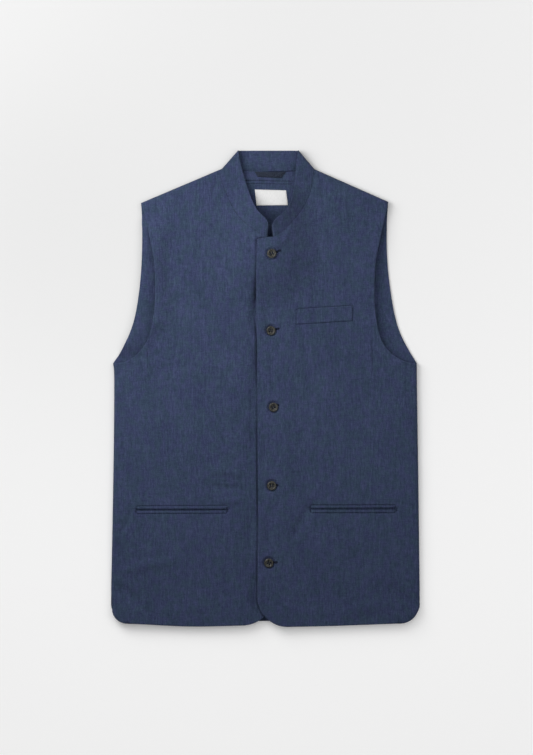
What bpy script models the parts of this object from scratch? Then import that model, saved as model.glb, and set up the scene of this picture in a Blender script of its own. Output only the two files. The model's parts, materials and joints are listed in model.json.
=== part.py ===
"""Sleeveless nehru jacket in navy linen, laid flat on its back and buttoned.

Frame: +Z up, +X towards the wearer's left, +Y towards the collar, and the origin under the middle of
the jacket's box. Tables and sizes are in millimetres, and each mesh is scaled to metres when it is made.
Each cut piece is an open outer surface with a Solidify wall: flat cloth is filled inside its outline,
its seamed edges are rolled over towards the piece that they meet, and small folds are raised in it.
"""

import math

import bmesh
import bpy
from mathutils import Vector, geometry
from mathutils.bvhtree import BVHTree

MM = 0.001

# Cloth and the gaps between pieces
WALL = 1.8
COLLAR_WALL = 2.2
SEAM_GAP = 0.35
LAYER_GAP = 0.75
TRIM_GAP = 0.35

# Heights of the outer faces above the surface that the jacket lies on
TOP = 10.0
SINK = 0.5
OVERLAP_TOP = TOP - SINK + LAYER_GAP + WALL
BACK_RIM = 3.0
FRONT_RIM = 5.3
TURN = 1.0

# The stiff collar holds the fronts up round the throat, from the neck down to the first button:
# a line (from x, from y, to x, to y), how far the rise reaches from it, and its height
THROAT = (4.0, 262.0, 10.6, 219.0)
THROAT_REACH = 92.0
THROAT_RISE = 22.0

# Both fronts rise a little towards their hem
HEM_LINE = -391.0
HEM_REACH = 60.0
HEM_RISE = 3.0

# Rolled edges, where the front and the back meet
FRONT_ROLL = 6.0
BACK_ROLL = 3.6
ROLL_ROWS = 4
VENT_DROOP = 0.3

# The wearer's right front sinks under the other, which climbs over its edge and comes down again
SINK_FROM_X = -34.0
SINK_RUN = 18.0
FOLDS_END_X = -30.0
FOLDS_FADE = 14.0
CLIMB_BEYOND_EDGE = 6.0
CLIMB_RUN = 34.0

# Mesh density: cells, edge samples, rows of points along folds, and the closest that points may be
FRONT_CELL = 15.0
BACK_CELL = 34.0
EDGE_STEP = 13.0
NECK_STEP = 9.0
FOLD_STEP = 14.0
FOLD_RIBS = (-1.0, -0.5, 0.0, 0.5, 1.0)
FOLD_CLEARANCE = 3.0
CLOSEST_TO_EDGE = 0.5
CLOSEST_TO_FOLD = 0.6
SHORTEST_EDGE = 0.5
CORNER_STEPS = 6
CENTRE_CORNER_STEPS = 8

# Landmarks: x of the wearer's right (at -X), x of the wearer's left (at +X), and y
NECK_CORNER = {"right": (-71.5, 363.8), "left": (81.5, 362.8)}
SHOULDER_TIP = {"right": (-205.5, 307.0), "left": (203.2, 309.0)}
UNDERARM_Y = 42.7
VENT_Y = -334.0
VENT_INSET = 1.8
HEM_CORNER_Y = -386.2
HEM_CORNER_RADIUS = {"right": 24.0, "left": 30.0}
VENT_TOP_RUN = 10.0
BACK_HEM_Y = -384.0
BACK_CORNER = (0.4, 2.0)
BACK_CORNER_RADIUS = 26.0

# (y, x on the wearer's right, x on the wearer's left)
SIDE_SEAM = (
    (UNDERARM_Y, -251.5, 250.3),
    (15.0, -249.7, 250.5),
    (-100.0, -250.5, 252.2),
    (-225.0, -252.6, 253.9),
    (VENT_Y, -254.8, 255.2),
)
BACK_ARMHOLE = (
    (270.0, -203.3, 201.0),
    (220.0, -203.6, 201.4),
    (170.0, -207.1, 206.0),
    (121.0, -214.7, 214.3),
    (90.0, -224.5, 224.0),
    (62.0, -238.5, 238.5),
)
FRONT_ARMHOLE = (
    (280.0, -197.2, 196.8),
    (244.0, -189.5, 188.8),
    (205.0, -182.5, 181.8),
    (155.0, -181.2, 180.0),
    (120.0, -184.6, 182.2),
    (87.0, -191.9, 189.2),
    (65.0, -204.0, 201.5),
    (50.0, -221.0, 220.5),
    (43.5, -237.0, 237.0),
)

# (x, y) from the neck corner to the end of the collar seam
FRONT_NECK = {
    "right": ((-73.8, 352.0), (-66.5, 328.0), (-50.0, 292.5), (-33.0, 272.8), (-14.0, 258.8), (3.8, 246.4)),
    "left": ((78.8, 348.0), (73.0, 320.0), (58.0, 291.5), (39.5, 269.0), (27.0, 256.9), (12.7, 249.4)),
}
BACK_NECK = ((-35.0, 360.2), (4.0, 359.4), (45.0, 360.0))
# (x, y) down each front's own edge, then along its hem to the side corner
UNDER_TOP_CORNER = (32.5, 244.5)
UNDER_EDGE = ((32.0, 235.0), (25.0, 0.0), (18.6, -310.0))
UNDER_HEM_CORNER = (18.8, -389.8)
UNDER_HEM = ((-44.0, -390.4), (-124.0, -391.9), (-203.0, -388.2))
UNDER_HEM_RADIUS = 58.0
OVER_TOP_END = (4.5, 248.9)
OVER_TOP_CORNER = (-13.4, 245.4)
OVER_EDGE = (
    (-14.9, 196.0),
    (-14.9, 117.0),
    (-13.3, 60.0),
    (-12.6, -100.0),
    (-12.0, -213.0),
    (-12.9, -310.0),
)
OVER_HEM_CORNER = (-13.0, -392.0)
OVER_HEM = ((55.0, -392.6), (110.0, -391.0), (203.0, -387.6))
OVER_HEM_RADIUS = 50.0

# Folds as (from x, from y, to x, to y, half width, rise). The first of each front is its fullness beside
# the armhole. A fold is highest in its middle, and has this share of its rise at its ends.
FOLD_END_SHARE = 0.6
FOLDS = {
    "front_right": (
        (-184.0, 240.0, -186.0, 125.0, 46.0, 7.0),
        (-84.0, -136.0, -46.0, -139.0, 10.0, 1.1),
        (-86.0, -163.0, -44.0, -164.0, 9.0, -0.9),
        (-72.0, -184.0, -42.0, -186.0, 8.0, 0.8),
        (-228.0, -298.0, -162.0, -286.0, 13.0, 1.1),
        (-24.0, 158.0, -24.0, 98.0, 9.0, -0.8),
        (-82.0, 338.0, -88.0, 318.0, 6.0, -0.8),
        (-196.0, 62.0, -194.0, 22.0, 9.0, 0.9),
    ),
    "front_left": (
        (184.0, 240.0, 186.0, 125.0, 46.0, 4.0),
        (44.0, 262.0, -2.0, 214.0, 12.0, 1.0),
        (-10.0, 190.0, -10.0, 112.0, 13.0, 1.3),
        (80.0, -190.0, 40.0, -246.0, 14.0, -0.8),
        (66.0, 205.0, 72.0, 120.0, 12.0, 0.7),
        (92.0, 336.0, 96.0, 312.0, 6.0, -0.8),
        (172.0, 66.0, 176.0, 14.0, 9.0, 0.8),
        (120.0, -372.0, 196.0, -356.0, 16.0, 0.9),
    ),
}

# Collar: (x, y) along its top edge from the neck fold to the front end, and how far that edge stands above
# the seam at the fold, at its crest beside the throat and at the front end
COLLAR_FOLD = {"right": (-44.7, 394.0), "left": (54.6, 394.0)}
COLLAR_EDGE = {
    "right": (
        (-39.8, 368.2),
        (-33.0, 343.0),
        (-24.6, 317.7),
        (-15.5, 297.0),
        (-5.5, 285.0),
        (2.0, 277.6),
        (4.5, 269.5),
    ),
    "left": (
        (51.2, 371.5),
        (48.7, 343.0),
        (44.4, 317.7),
        (38.0, 299.5),
        (27.6, 287.3),
        (17.0, 278.4),
        (11.0, 268.0),
    ),
}
COLLAR_RISE = {"right": (4.5, 5.8, 7.0), "left": (6.0, 7.0, 8.0)}
COLLAR_CREST = 0.6
COLLAR_FOLD_ROLL = 5.0
COLLAR_FOLD_RIM = (6.2, 7.6)
COLLAR_BOW = 0.9
COLLAR_BOW_RIBS = 8.0
COLLAR_BOW_CLIMB = 4.0
# Its right front end dips between seam and edge, to pass under the corner of the other front
COLLAR_TUCK = 2.2
COLLAR_TUCK_RIBS = 4.0
COLLAR_CELLS = 5

# Pieces on the panels: corners as (x, y), anticlockwise from the lower left
RAY_FROM = 100.0
CHEST_WELT = ((51.2, 106.8), (143.2, 112.6), (144.0, 137.5), (53.0, 131.6))
WELT_WALL = 1.4
WELT_CELLS = (10, 3)
POCKET_JETS = {
    "right": {"ends": (-212.2, -64.7), "slit": -199.4, "tilt": -0.5, "gap": (2.9, 2.0)},
    "left": {"ends": (75.4, 213.7), "slit": -198.0, "tilt": 1.2, "gap": (2.8, 3.5)},
}
JETS_REACH = 5.7
JET_WALL = 1.1
JET_CELLS = (12, 1)

# Neck label and hanger loop, which lie on the inside of the back
LABEL = ((-14.5, 302.8), (37.3, 303.3), (34.3, 327.8), (-17.3, 329.1))
LABEL_THICK = 0.7
LOOP = ((-12.5, 350.2), (26.0, 348.4), (34.0, 358.6), (-17.0, 358.6))
LOOP_THICK = 1.4

# Buttons down the wearer's left front
BUTTONS = ((10.6, 221.6), (9.4, 95.9), (13.4, -30.4), (10.6, -159.8), (5.8, -287.3))
BUTTON_RADIUS = 7.8
BUTTON_THICK = 3.2
# Half a button's section as (radius, share of its thickness): the dish, the round rim and the flat back
BUTTON_SECTION = (
    (0.0, 0.62),
    (4.2, 0.66),
    (5.3, 0.95),
    (6.4, 1.0),
    (BUTTON_RADIUS - 0.25, 0.72),
    (BUTTON_RADIUS, 0.42),
    (BUTTON_RADIUS - 0.9, 0.06),
    (BUTTON_RADIUS - 1.8, 0.0),
    (0.0, 0.0),
)
BUTTON_SIDES = 24
SEAT_SAMPLES = 12
HOLE_RADIUS = 0.9
HOLE_PITCH = 1.7
HOLE_SIDES = 8
HOLE_LENGTH = 12.8
SHORTEST_SCREW_EDGE = 0.0001

COLOURS = {
    "linen": (0.040, 0.054, 0.098),
    "tape": (0.018, 0.022, 0.036),
    "label": (0.66, 0.66, 0.65),
    "horn": (0.045, 0.042, 0.030),
}
ROUGHNESS = {"linen": 0.88, "tape": 0.8, "label": 0.75, "horn": 0.35}


def start_scene():
    """Clears the scene and makes the collections for the jacket and for its cutters."""
    for thing in list(bpy.data.objects):
        bpy.data.objects.remove(thing, do_unlink=True)
    made = []
    for name in ("nehru_jacket", "cutters"):
        collection = bpy.data.collections.new(name)
        bpy.context.scene.collection.children.link(collection)
        made.append(collection)
    return made


def material_for(name, finish):
    material = bpy.data.materials.new(name)
    material.use_nodes = True
    shader = material.node_tree.nodes["Principled BSDF"]
    shader.inputs["Base Color"].default_value = (*COLOURS[finish], 1.0)
    shader.inputs["Roughness"].default_value = ROUGHNESS[finish]
    shader.inputs["Metallic"].default_value = 0.0
    material.diffuse_color = (*COLOURS[finish], 1.0)
    return material


def add_object(name, data, finish, collection):
    thing = bpy.data.objects.new(name, data)
    collection.objects.link(thing)
    data.materials.append(material_for(name, finish))
    return thing


def object_from(name, bm, finish, collection):
    """Makes a smooth object in metres from a bmesh in millimetres."""
    bmesh.ops.scale(bm, vec=(MM, MM, MM), verts=bm.verts)
    mesh = bpy.data.meshes.new(name)
    bm.to_mesh(mesh)
    bm.free()
    mesh.shade_smooth()
    return add_object(name, mesh, finish, collection)


def thicken(thing, wall, outwards=False):
    solidify = thing.modifiers.new("wall", "SOLIDIFY")
    solidify.thickness = wall * MM
    solidify.offset = 1.0 if outwards else -1.0
    solidify.use_even_offset = True
    solidify.use_quality_normals = True


# Curves in the plane


def smooth_curve(points, step=EDGE_STEP):
    """A Catmull-Rom curve through the points, with a sample about every step millimetres."""
    points = [Vector(point) for point in points]
    padded = [2 * points[0] - points[1], *points, 2 * points[-1] - points[-2]]
    samples = []
    for a, b, c, d in zip(padded, padded[1:], padded[2:], padded[3:]):
        count = max(1, round((c - b).length / step))
        for i in range(count):
            t = i / count
            bend = (2 * a - 5 * b + 4 * c - d) * t**2 + (3 * b - a - 3 * c + d) * t**3
            samples.append(0.5 * (2 * b + (c - a) * t + bend))
    return [*samples, points[-1]]


def rounded_corner(before, corner, after, radius, steps=CORNER_STEPS):
    """An arc that rounds the corner between two straight runs."""
    before, corner, after = Vector(before), Vector(corner), Vector(after)
    back, ahead = (before - corner).normalized(), (after - corner).normalized()
    half = back.angle(ahead) / 2
    centre = corner + (back + ahead).normalized() * (radius / math.sin(half))
    start = corner + back * (radius / math.tan(half))
    end = corner + ahead * (radius / math.tan(half))
    spokes = start - centre, end - centre
    turn = spokes[0].angle_signed(spokes[1])
    arc = []
    for i in range(steps + 1):
        angle = -turn * i / steps
        spoke = Vector(
            (
                spokes[0].x * math.cos(angle) - spokes[0].y * math.sin(angle),
                spokes[0].x * math.sin(angle) + spokes[0].y * math.cos(angle),
            )
        )
        arc.append(centre + spoke)
    return arc


def along(points, distance):
    """The point that lies this far along a polyline, and the polyline's points after it."""
    for i, (a, b) in enumerate(zip(points, points[1:])):
        length = (b - a).length
        if distance < length - SHORTEST_EDGE:
            return a.lerp(b, distance / length), points[i + 1 :]
        distance -= length
    raise ValueError("the edge is shorter than the roll")


def at_fraction(points, fraction):
    lengths = [(b - a).length for a, b in zip(points, points[1:])]
    wanted = fraction * sum(lengths)
    for a, b, length in zip(points, points[1:], lengths):
        if wanted <= length:
            return a.lerp(b, wanted / length)
        wanted -= length
    return points[-1]


def fractions(points):
    """How far along the polyline each of its points is, from 0 to 1."""
    lengths = [0.0]
    for a, b in zip(points, points[1:]):
        lengths.append(lengths[-1] + (b - a).length)
    return [length / lengths[-1] for length in lengths]


def front_neck(side):
    return smooth_curve([Vector(NECK_CORNER[side]), *map(Vector, FRONT_NECK[side])], NECK_STEP)


def back_neck():
    corners = Vector(NECK_CORNER["right"]), Vector(NECK_CORNER["left"])
    return smooth_curve([corners[0], *map(Vector, BACK_NECK), corners[1]])


def side_column(table, side):
    column = 1 if side == "right" else 2
    return [Vector((row[column], row[0])) for row in table]


def ease(t):
    t = min(max(t, 0.0), 1.0)
    return t * t * (3 - 2 * t)


def roll_profile(row):
    """Inset and lift of a row of a rolled edge, each from 0 at its rim to 1 where it is flat."""
    angle = 0.5 * math.pi * row / ROLL_ROWS
    return 1 - math.cos(angle), math.sin(angle)


# Heights


def fold_rise(name, x, y):
    """The height that the folds of a panel add at a point."""
    total = 0.0
    for x0, y0, x1, y1, half_width, rise in FOLDS.get(name, ()):
        start, span, point = Vector((x0, y0)), Vector((x1 - x0, y1 - y0)), Vector((x, y))
        t = min(max((point - start).dot(span) / span.length_squared, 0.0), 1.0)
        off = (point - start - span * t).length / half_width
        if off < 1:
            share = FOLD_END_SHARE + (1 - FOLD_END_SHARE) * math.sin(math.pi * t)
            total += rise * math.cos(0.5 * math.pi * off) ** 2 * share
    return total


def under_edge_x(y):
    """x of the hidden edge of the wearer's right front."""
    top, bottom = UNDER_EDGE[0], UNDER_EDGE[-1]
    return bottom[0] + (top[0] - bottom[0]) * (y - bottom[1]) / (top[1] - bottom[1])


def throat_rise(x, y):
    start, point = Vector(THROAT[:2]), Vector((x, y))
    span = Vector(THROAT[2:]) - start
    t = min(max((point - start).dot(span) / span.length_squared, 0.0), 1.0)
    share = max(0.0, 1 - (point - start - span * t).length / THROAT_REACH)
    return THROAT_RISE * (0.5 - 0.5 * math.cos(math.pi * share))


def hem_rise(y):
    return HEM_RISE * (1 - ease((y - HEM_LINE) / HEM_REACH))


def height_right(x, y):
    """The wearer's right front dips where the other front lies over it."""
    covered = ease((x - SINK_FROM_X) / SINK_RUN)
    shown = 1 - ease((x - FOLDS_END_X) / FOLDS_FADE)
    return TOP - SINK * covered + throat_rise(x, y) + hem_rise(y) + fold_rise("front_right", x, y) * shown


def height_left(x, y):
    """The wearer's left front climbs over the edge of the other, and its folds there only rise."""
    clear = ease((x - under_edge_x(y) - CLIMB_BEYOND_EDGE) / CLIMB_RUN)
    folds = fold_rise("front_left", x, y)
    level = OVERLAP_TOP + (TOP - OVERLAP_TOP) * clear + throat_rise(x, y) + hem_rise(y)
    return level + (folds if folds > 0 else folds * clear)


def height_back(x, y):
    return 0.0


# Panels


def rolled_rows(edge, before, after, roll):
    """Rows of points from a rolled edge inwards, and the free edges beside it, cut back to where it ends.

    before and after run away from the rolled edge's first and last point. The first row is the rim.
    """
    first, rest_before = along(before, roll)
    last, rest_after = along(after, roll)
    inner = [first]
    for a, b, c in zip(edge, edge[1:], edge[2:]):
        tangent = (c - a).normalized()
        inner.append(b + Vector((-tangent.y, tangent.x)) * roll)
    inner.append(last)
    rows = []
    for row in range(ROLL_ROWS + 1):
        inset, _ = roll_profile(row)
        rows.append([rim.lerp(flat, inset) for rim, flat in zip(edge, inner)])
    return rows, rest_before, rest_after


def inside(point, outline):
    crossings = 0
    for a, b in zip(outline, outline[1:] + outline[:1]):
        if (a.y > point.y) != (b.y > point.y):
            crossings += point.x < a.x + (b.x - a.x) * (point.y - a.y) / (b.y - a.y)
    return crossings % 2 == 1


def clearance(point, outline):
    nearest = 1e9
    for a, b in zip(outline, outline[1:] + outline[:1]):
        span = b - a
        t = min(max((point - a).dot(span) / span.length_squared, 0.0), 1.0)
        nearest = min(nearest, (point - a - span * t).length)
    return nearest


def fold_points(name):
    """Rows of points along each fold, so that its ridge and its feet are in the mesh."""
    points = []
    for x0, y0, x1, y1, half_width, _ in FOLDS.get(name, ()):
        start, span = Vector((x0, y0)), Vector((x1 - x0, y1 - y0))
        across = Vector((-span.y, span.x)).normalized() * half_width
        count = max(2, round(span.length / FOLD_STEP))
        for i in range(count + 1):
            points.extend(start + span * (i / count) + across * k for k in FOLD_RIBS)
    return points


def lattice(name, outline, cell):
    """Points that fill an outline: those of its folds, and an even triangular lattice between them."""
    chosen = [
        point
        for point in fold_points(name)
        if inside(point, outline) and clearance(point, outline) > FOLD_CLEARANCE
    ]
    kept = len(chosen)
    low = Vector((min(p.x for p in outline), min(p.y for p in outline)))
    high = Vector((max(p.x for p in outline), max(p.y for p in outline)))
    row_step = cell * math.sqrt(0.75)
    for j in range(int((high.y - low.y) / row_step) + 1):
        for i in range(int((high.x - low.x) / cell) + 2):
            point = Vector((low.x + (i - 0.5 * (j % 2)) * cell, low.y + (j + 0.5) * row_step))
            if not inside(point, outline) or clearance(point, outline) < CLOSEST_TO_EDGE * cell:
                continue
            if all((point - other).length > CLOSEST_TO_FOLD * cell for other in chosen[:kept]):
                chosen.append(point)
    return chosen


def make_panel(name, edges, height, rim, roll, cell, facing, collection):
    """One panel from its edges, anticlockwise: each is (points, None) or (points, roll amounts).

    A roll amount of 1 brings the rim all the way to the seam, with a turned edge that faces the other
    panel's. facing is 1 for a panel that faces up and -1 for one that faces down.
    """
    free = {i: list(points) for i, (points, amounts) in enumerate(edges) if amounts is None}
    strips = {}
    for i, (points, amounts) in enumerate(edges):
        if amounts is None:
            continue
        before, after = i - 1 if i else len(edges) - 1, (i + 1) % len(edges)
        rows, cut_before, cut_after = rolled_rows(points, free[before][::-1], free[after], roll)
        free[before] = cut_before[::-1] + [rows[-1][0]]
        free[after] = [rows[-1][-1]] + cut_after
        strips[i] = rows, amounts
    outline = []
    for i in range(len(edges)):
        points = strips[i][0][-1] if i in strips else free[i]
        outline.extend(points[:-1])

    flat = outline + lattice(name, outline, cell)
    loop = list(range(len(outline)))
    filled = geometry.delaunay_2d_cdt(flat, [], [loop], 1, 1e-4)
    bm = bmesh.new()
    verts = [bm.verts.new((p.x, p.y, height(p.x, p.y))) for p in filled[0]]
    place = {old: new for new, olds in enumerate(filled[3]) for old in olds}
    for face in filled[2]:
        bm.faces.new([verts[k] for k in face])

    start = 0
    for i in range(len(edges)):
        count = len(strips[i][0][-1] if i in strips else free[i]) - 1
        if i in strips:
            rows, amounts = strips[i]
            last_row = [verts[place[(start + k) % len(outline)]] for k in range(count + 1)]
            roll_over(bm, rows, amounts, last_row, height, rim, facing)
        start += count
    if facing < 0:
        bmesh.ops.reverse_faces(bm, faces=bm.faces)
    surface = BVHTree.FromBMesh(bm)
    thing = object_from(name, bm, "linen", collection)
    thicken(thing, WALL)
    return thing, surface


def roll_over(bm, rows, amounts, inner_row, height, rim, facing):
    """Adds a rolled edge outside the inner row, with the turned edge along the part that is seamed."""
    ahead = inner_row
    for row in range(ROLL_ROWS - 1, -1, -1):
        _, lift = roll_profile(row)
        made = []
        for point, amount in zip(rows[row], amounts):
            flat = height(point.x, point.y)
            made.append(bm.verts.new((point.x, point.y, flat - (flat - rim) * amount * (1 - lift))))
        for a, b, c, d in zip(made, made[1:], ahead[1:], ahead):
            bm.faces.new((a, b, c, d))
        ahead = made
    seamed = [k for k, amount in enumerate(amounts) if amount == 1.0]
    turned = {k: bm.verts.new((rows[0][k].x, rows[0][k].y, rim - TURN * facing)) for k in seamed}
    for a, b in zip(seamed, seamed[1:]):
        bm.faces.new((turned[a], turned[b], ahead[b], ahead[a]))


def side_edge(side, hem_corner, hem_next, radius, inset, droop):
    """The side seam from the underarm to the vent, the vent's edge and the round hem corner.

    Returns the points and how far each is rolled, and is anticlockwise on the wearer's right.
    """
    seam = smooth_curve(side_column(SIDE_SEAM, side), 2 * EDGE_STEP)
    outwards = -1 if side == "right" else 1
    vent_start = Vector((seam[-1].x - outwards * inset, VENT_Y - VENT_TOP_RUN))
    corner = rounded_corner(vent_start, hem_corner, hem_next, radius)
    points = [*seam, vent_start, *corner]
    amounts = [1.0] * len(seam) + [droop] * (len(corner) - 1) + [0.5 * droop, 0.0]
    return points, amounts


def front_edges(side):
    """The edges of one front, anticlockwise, starting with the hem."""
    tip, neck_corner = Vector(SHOULDER_TIP[side]), Vector(NECK_CORNER[side])
    under = side == "right"
    outwards = -1 if under else 1
    hem, hem_corner = (UNDER_HEM, UNDER_HEM_CORNER) if under else (OVER_HEM, OVER_HEM_CORNER)
    edge, radius = (UNDER_EDGE, UNDER_HEM_RADIUS) if under else (OVER_EDGE, OVER_HEM_RADIUS)
    side_x = side_column(SIDE_SEAM, side)[-1].x - outwards * VENT_INSET
    side_points, side_amounts = side_edge(
        side, (side_x, HEM_CORNER_Y), hem[-1], HEM_CORNER_RADIUS[side], VENT_INSET, VENT_DROOP
    )
    centre_corner = rounded_corner(edge[-1], hem_corner, hem[0], radius, CENTRE_CORNER_STEPS)
    armhole = smooth_curve([tip, *side_column(FRONT_ARMHOLE, side), side_points[0]])
    neck = front_neck(side)
    top = [neck[-1], *map(Vector, [UNDER_TOP_CORNER] if under else [OVER_TOP_END, OVER_TOP_CORNER])]
    down = smooth_curve([top[-1], *edge])
    hem_curve = smooth_curve([centre_corner[-1], *hem[1:], side_points[-1]])
    shoulder = smooth_curve([neck_corner, tip])
    # Clockwise on the page for the wearer's left, whose edges are turned round at the end.
    loop = [
        (hem_curve[::-1], None),
        ((centre_corner[::-1] + down[-2::-1]), None),
        (top[::-1], None),
        (neck[::-1], None),
        (shoulder, [1.0] * len(shoulder)),
        (armhole, None),
        (side_points, side_amounts),
    ]
    if under:
        return loop
    return [(points[::-1], amounts and amounts[::-1]) for points, amounts in loop[::-1]]


def back_edges():
    """The edges of the back, anticlockwise, starting with the hem."""
    hem_next = Vector((0.0, BACK_HEM_Y))
    outset, lift = BACK_CORNER
    sides, armholes, shoulders = {}, {}, {}
    for side in ("right", "left"):
        x = side_column(SIDE_SEAM, side)[-1].x
        outwards = -1 if side == "right" else 1
        corner = (x + outset * outwards, BACK_HEM_Y + lift)
        sides[side] = side_edge(side, corner, hem_next, BACK_CORNER_RADIUS, -outset, 0.0)
        tip = Vector(SHOULDER_TIP[side])
        armholes[side] = smooth_curve([tip, *side_column(BACK_ARMHOLE, side), sides[side][0][0]])
        shoulders[side] = smooth_curve([Vector(NECK_CORNER[side]), tip], 2 * EDGE_STEP)
    hem = smooth_curve([sides["right"][0][-1], hem_next, sides["left"][0][-1]], 2 * EDGE_STEP)
    left_side, left_amounts = sides["left"]
    return [
        (hem, None),
        (left_side[::-1], left_amounts[::-1]),
        (armholes["left"][::-1], None),
        (shoulders["left"][::-1], [1.0] * len(shoulders["left"])),
        (back_neck()[::-1], None),
        (shoulders["right"], [1.0] * len(shoulders["right"])),
        (armholes["right"], None),
        sides["right"],
    ]


# Collar


def collar_ribs():
    """Pairs of seam and top-edge points round the collar, from its right front end to its left one.

    The seam points are the panels' own neck points, so the seam stays as wide all round.
    """
    neck = back_neck()
    top = [Vector(COLLAR_FOLD["right"]), Vector(COLLAR_FOLD["left"])]
    right = front_ribs("right", height_right) + fold_ribs(neck, top)
    left = front_ribs("left", height_left) + fold_ribs(neck[::-1], top[::-1])
    flat_neck, flat_top = between_folds(neck, BACK_ROLL), between_folds(top, COLLAR_FOLD_ROLL)
    middle = [
        ((*seam, 0.0), (*at_fraction(flat_top, t), 0.0))
        for seam, t in zip(flat_neck[1:-1], fractions(flat_neck)[1:-1])
    ]
    return right + middle + left[::-1]


def between_folds(points, roll):
    start, rest = along(points, roll)
    end, middle = along([start, *rest][::-1], roll)
    return [end, *middle][::-1]


def collar_rise(side, t):
    """How far the collar's top edge stands above its seam, at a share of its way from the fold to its end."""
    near, crest, far = COLLAR_RISE[side]
    past_crest = ease((t - COLLAR_CREST) / (1 - COLLAR_CREST))
    return near + (crest - near) * ease(t / COLLAR_CREST) + (far - crest) * past_crest


def front_ribs(side, height):
    """The ribs over one front, from its end up to the fold and round the fold's upper half."""
    corner, top_corner = Vector(NECK_CORNER[side]), Vector(COLLAR_FOLD[side])
    edge = smooth_curve([top_corner, *map(Vector, COLLAR_EDGE[side])], NECK_STEP)
    seam_start, seam_rest = along(front_neck(side), FRONT_ROLL)
    edge_start, edge_rest = along(edge, COLLAR_FOLD_ROLL)
    seam, edge = [seam_start, *seam_rest], [edge_start, *edge_rest]
    ribs = []
    for point, t in zip(seam, fractions(seam)):
        level = height(*point)
        ribs.append(((*point, level), (*at_fraction(edge, t), level + collar_rise(side, t))))
    ribs.reverse()
    flat = height(*seam_start)
    near = flat + collar_rise(side, 0.0)
    for row in range(ROLL_ROWS - 1, -1, -1):
        inset, lift = roll_profile(row)
        rim_height = FRONT_RIM + (flat - FRONT_RIM) * lift
        edge_height = COLLAR_FOLD_RIM[1] + (near - COLLAR_FOLD_RIM[1]) * lift
        seam_point, edge_point = corner.lerp(seam_start, inset), top_corner.lerp(edge_start, inset)
        ribs.append(((*seam_point, rim_height), (*edge_point, edge_height)))
    return ribs


def fold_ribs(neck, top):
    """The ribs round the lower half of a fold, down to where the back of the collar lies flat."""
    seam_flat, _ = along(neck, BACK_ROLL)
    top_flat = top[0] + (top[1] - top[0]).normalized() * COLLAR_FOLD_ROLL
    ribs = []
    for row in range(ROLL_ROWS + 1):
        inset, lift = roll_profile(row)
        seam, edge = neck[0].lerp(seam_flat, inset), top[0].lerp(top_flat, inset)
        ribs.append(((*seam, BACK_RIM * (1 - lift)), (*edge, COLLAR_FOLD_RIM[0] * (1 - lift))))
    return ribs


def make_collar(collection):
    bm = bmesh.new()
    columns = []
    ribs = collar_ribs()
    for index, (seam, edge) in enumerate(ribs):
        seam, edge = Vector(seam), Vector(edge)
        plan = Vector((edge.x - seam.x, edge.y - seam.y, 0.0)).normalized()
        seam = seam + plan * SEAM_GAP
        ends = min(index, len(ribs) - 1 - index)
        climb = ease((edge.z - COLLAR_FOLD_RIM[1]) / COLLAR_BOW_CLIMB)
        bow = COLLAR_BOW * ease(ends / COLLAR_BOW_RIBS) * climb
        bow -= COLLAR_TUCK * (1 - ease(index / COLLAR_TUCK_RIBS))
        column = []
        for k in range(COLLAR_CELLS + 1):
            v = k / COLLAR_CELLS
            point = seam.lerp(edge, v) + Vector((0.0, 0.0, bow * math.sin(math.pi * v)))
            column.append(bm.verts.new(point))
        columns.append(column)
    for one, two in zip(columns, columns[1:]):
        for a, b, c, d in zip(one, two, two[1:], one[1:]):
            bm.faces.new((a, d, c, b))
    collar = object_from("collar", bm, "linen", collection)
    thicken(collar, COLLAR_WALL)
    return collar


# Pieces that lie on a panel


def surface_z(surface, x, y):
    hit = surface.ray_cast(Vector((x, y, RAY_FROM)), Vector((0.0, 0.0, -1.0)))
    return hit[0].z


def make_applied(name, corners, surface, wall, cells, collection):
    """A thin piece whose points are the panel's own, moved out by the gap."""
    low_left, low_right, high_right, high_left = map(Vector, corners)
    across, up = cells
    bm = bmesh.new()
    grid = []
    for j in range(up + 1):
        row = []
        for i in range(across + 1):
            low = low_left.lerp(low_right, i / across)
            point = low.lerp(high_left.lerp(high_right, i / across), j / up)
            row.append(bm.verts.new((point.x, point.y, surface_z(surface, *point) + TRIM_GAP)))
        grid.append(row)
    for lower, upper in zip(grid, grid[1:]):
        for a, b, c, d in zip(lower, lower[1:], upper[1:], upper):
            bm.faces.new((a, b, c, d))
    thing = object_from(name, bm, "linen", collection)
    thicken(thing, wall, outwards=True)
    return thing


def make_jets(side, surface, collection):
    """The two narrow lips of a jetted pocket, above and below its slit, which gapes a little."""
    pocket = POCKET_JETS[side]
    (left, right), (gap_left, gap_right) = pocket["ends"], pocket["gap"]
    y_left, y_right = pocket["slit"] - pocket["tilt"] / 2, pocket["slit"] + pocket["tilt"] / 2
    for part, sign in (("upper", 1), ("lower", -1)):
        inner = Vector((left, y_left + sign * gap_left / 2)), Vector((right, y_right + sign * gap_right / 2))
        outer = Vector((left, y_left + sign * JETS_REACH)), Vector((right, y_right + sign * JETS_REACH))
        low, high = (inner, outer) if sign > 0 else (outer, inner)
        corners = (*low, high[1], high[0])
        make_applied(f"pocket_jet_{side}_{part}", corners, surface, JET_WALL, JET_CELLS, collection)


def make_flat_piece(name, corners, thick, finish, collection):
    """A flat piece that lies on the inside of the back."""
    curve = bpy.data.curves.new(name, "CURVE")
    curve.dimensions = "2D"
    curve.fill_mode = "BOTH"
    curve.extrude = 0.5 * thick * MM
    spline = curve.splines.new("POLY")
    spline.points.add(len(corners) - 1)
    for point, (x, y) in zip(spline.points, corners):
        point.co = (x * MM, y * MM, 0.0, 1.0)
    spline.use_cyclic_u = True
    piece = add_object(name, curve, finish, collection)
    piece.location.z = (WALL + TRIM_GAP + 0.5 * thick) * MM
    return piece


# Buttons


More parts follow.
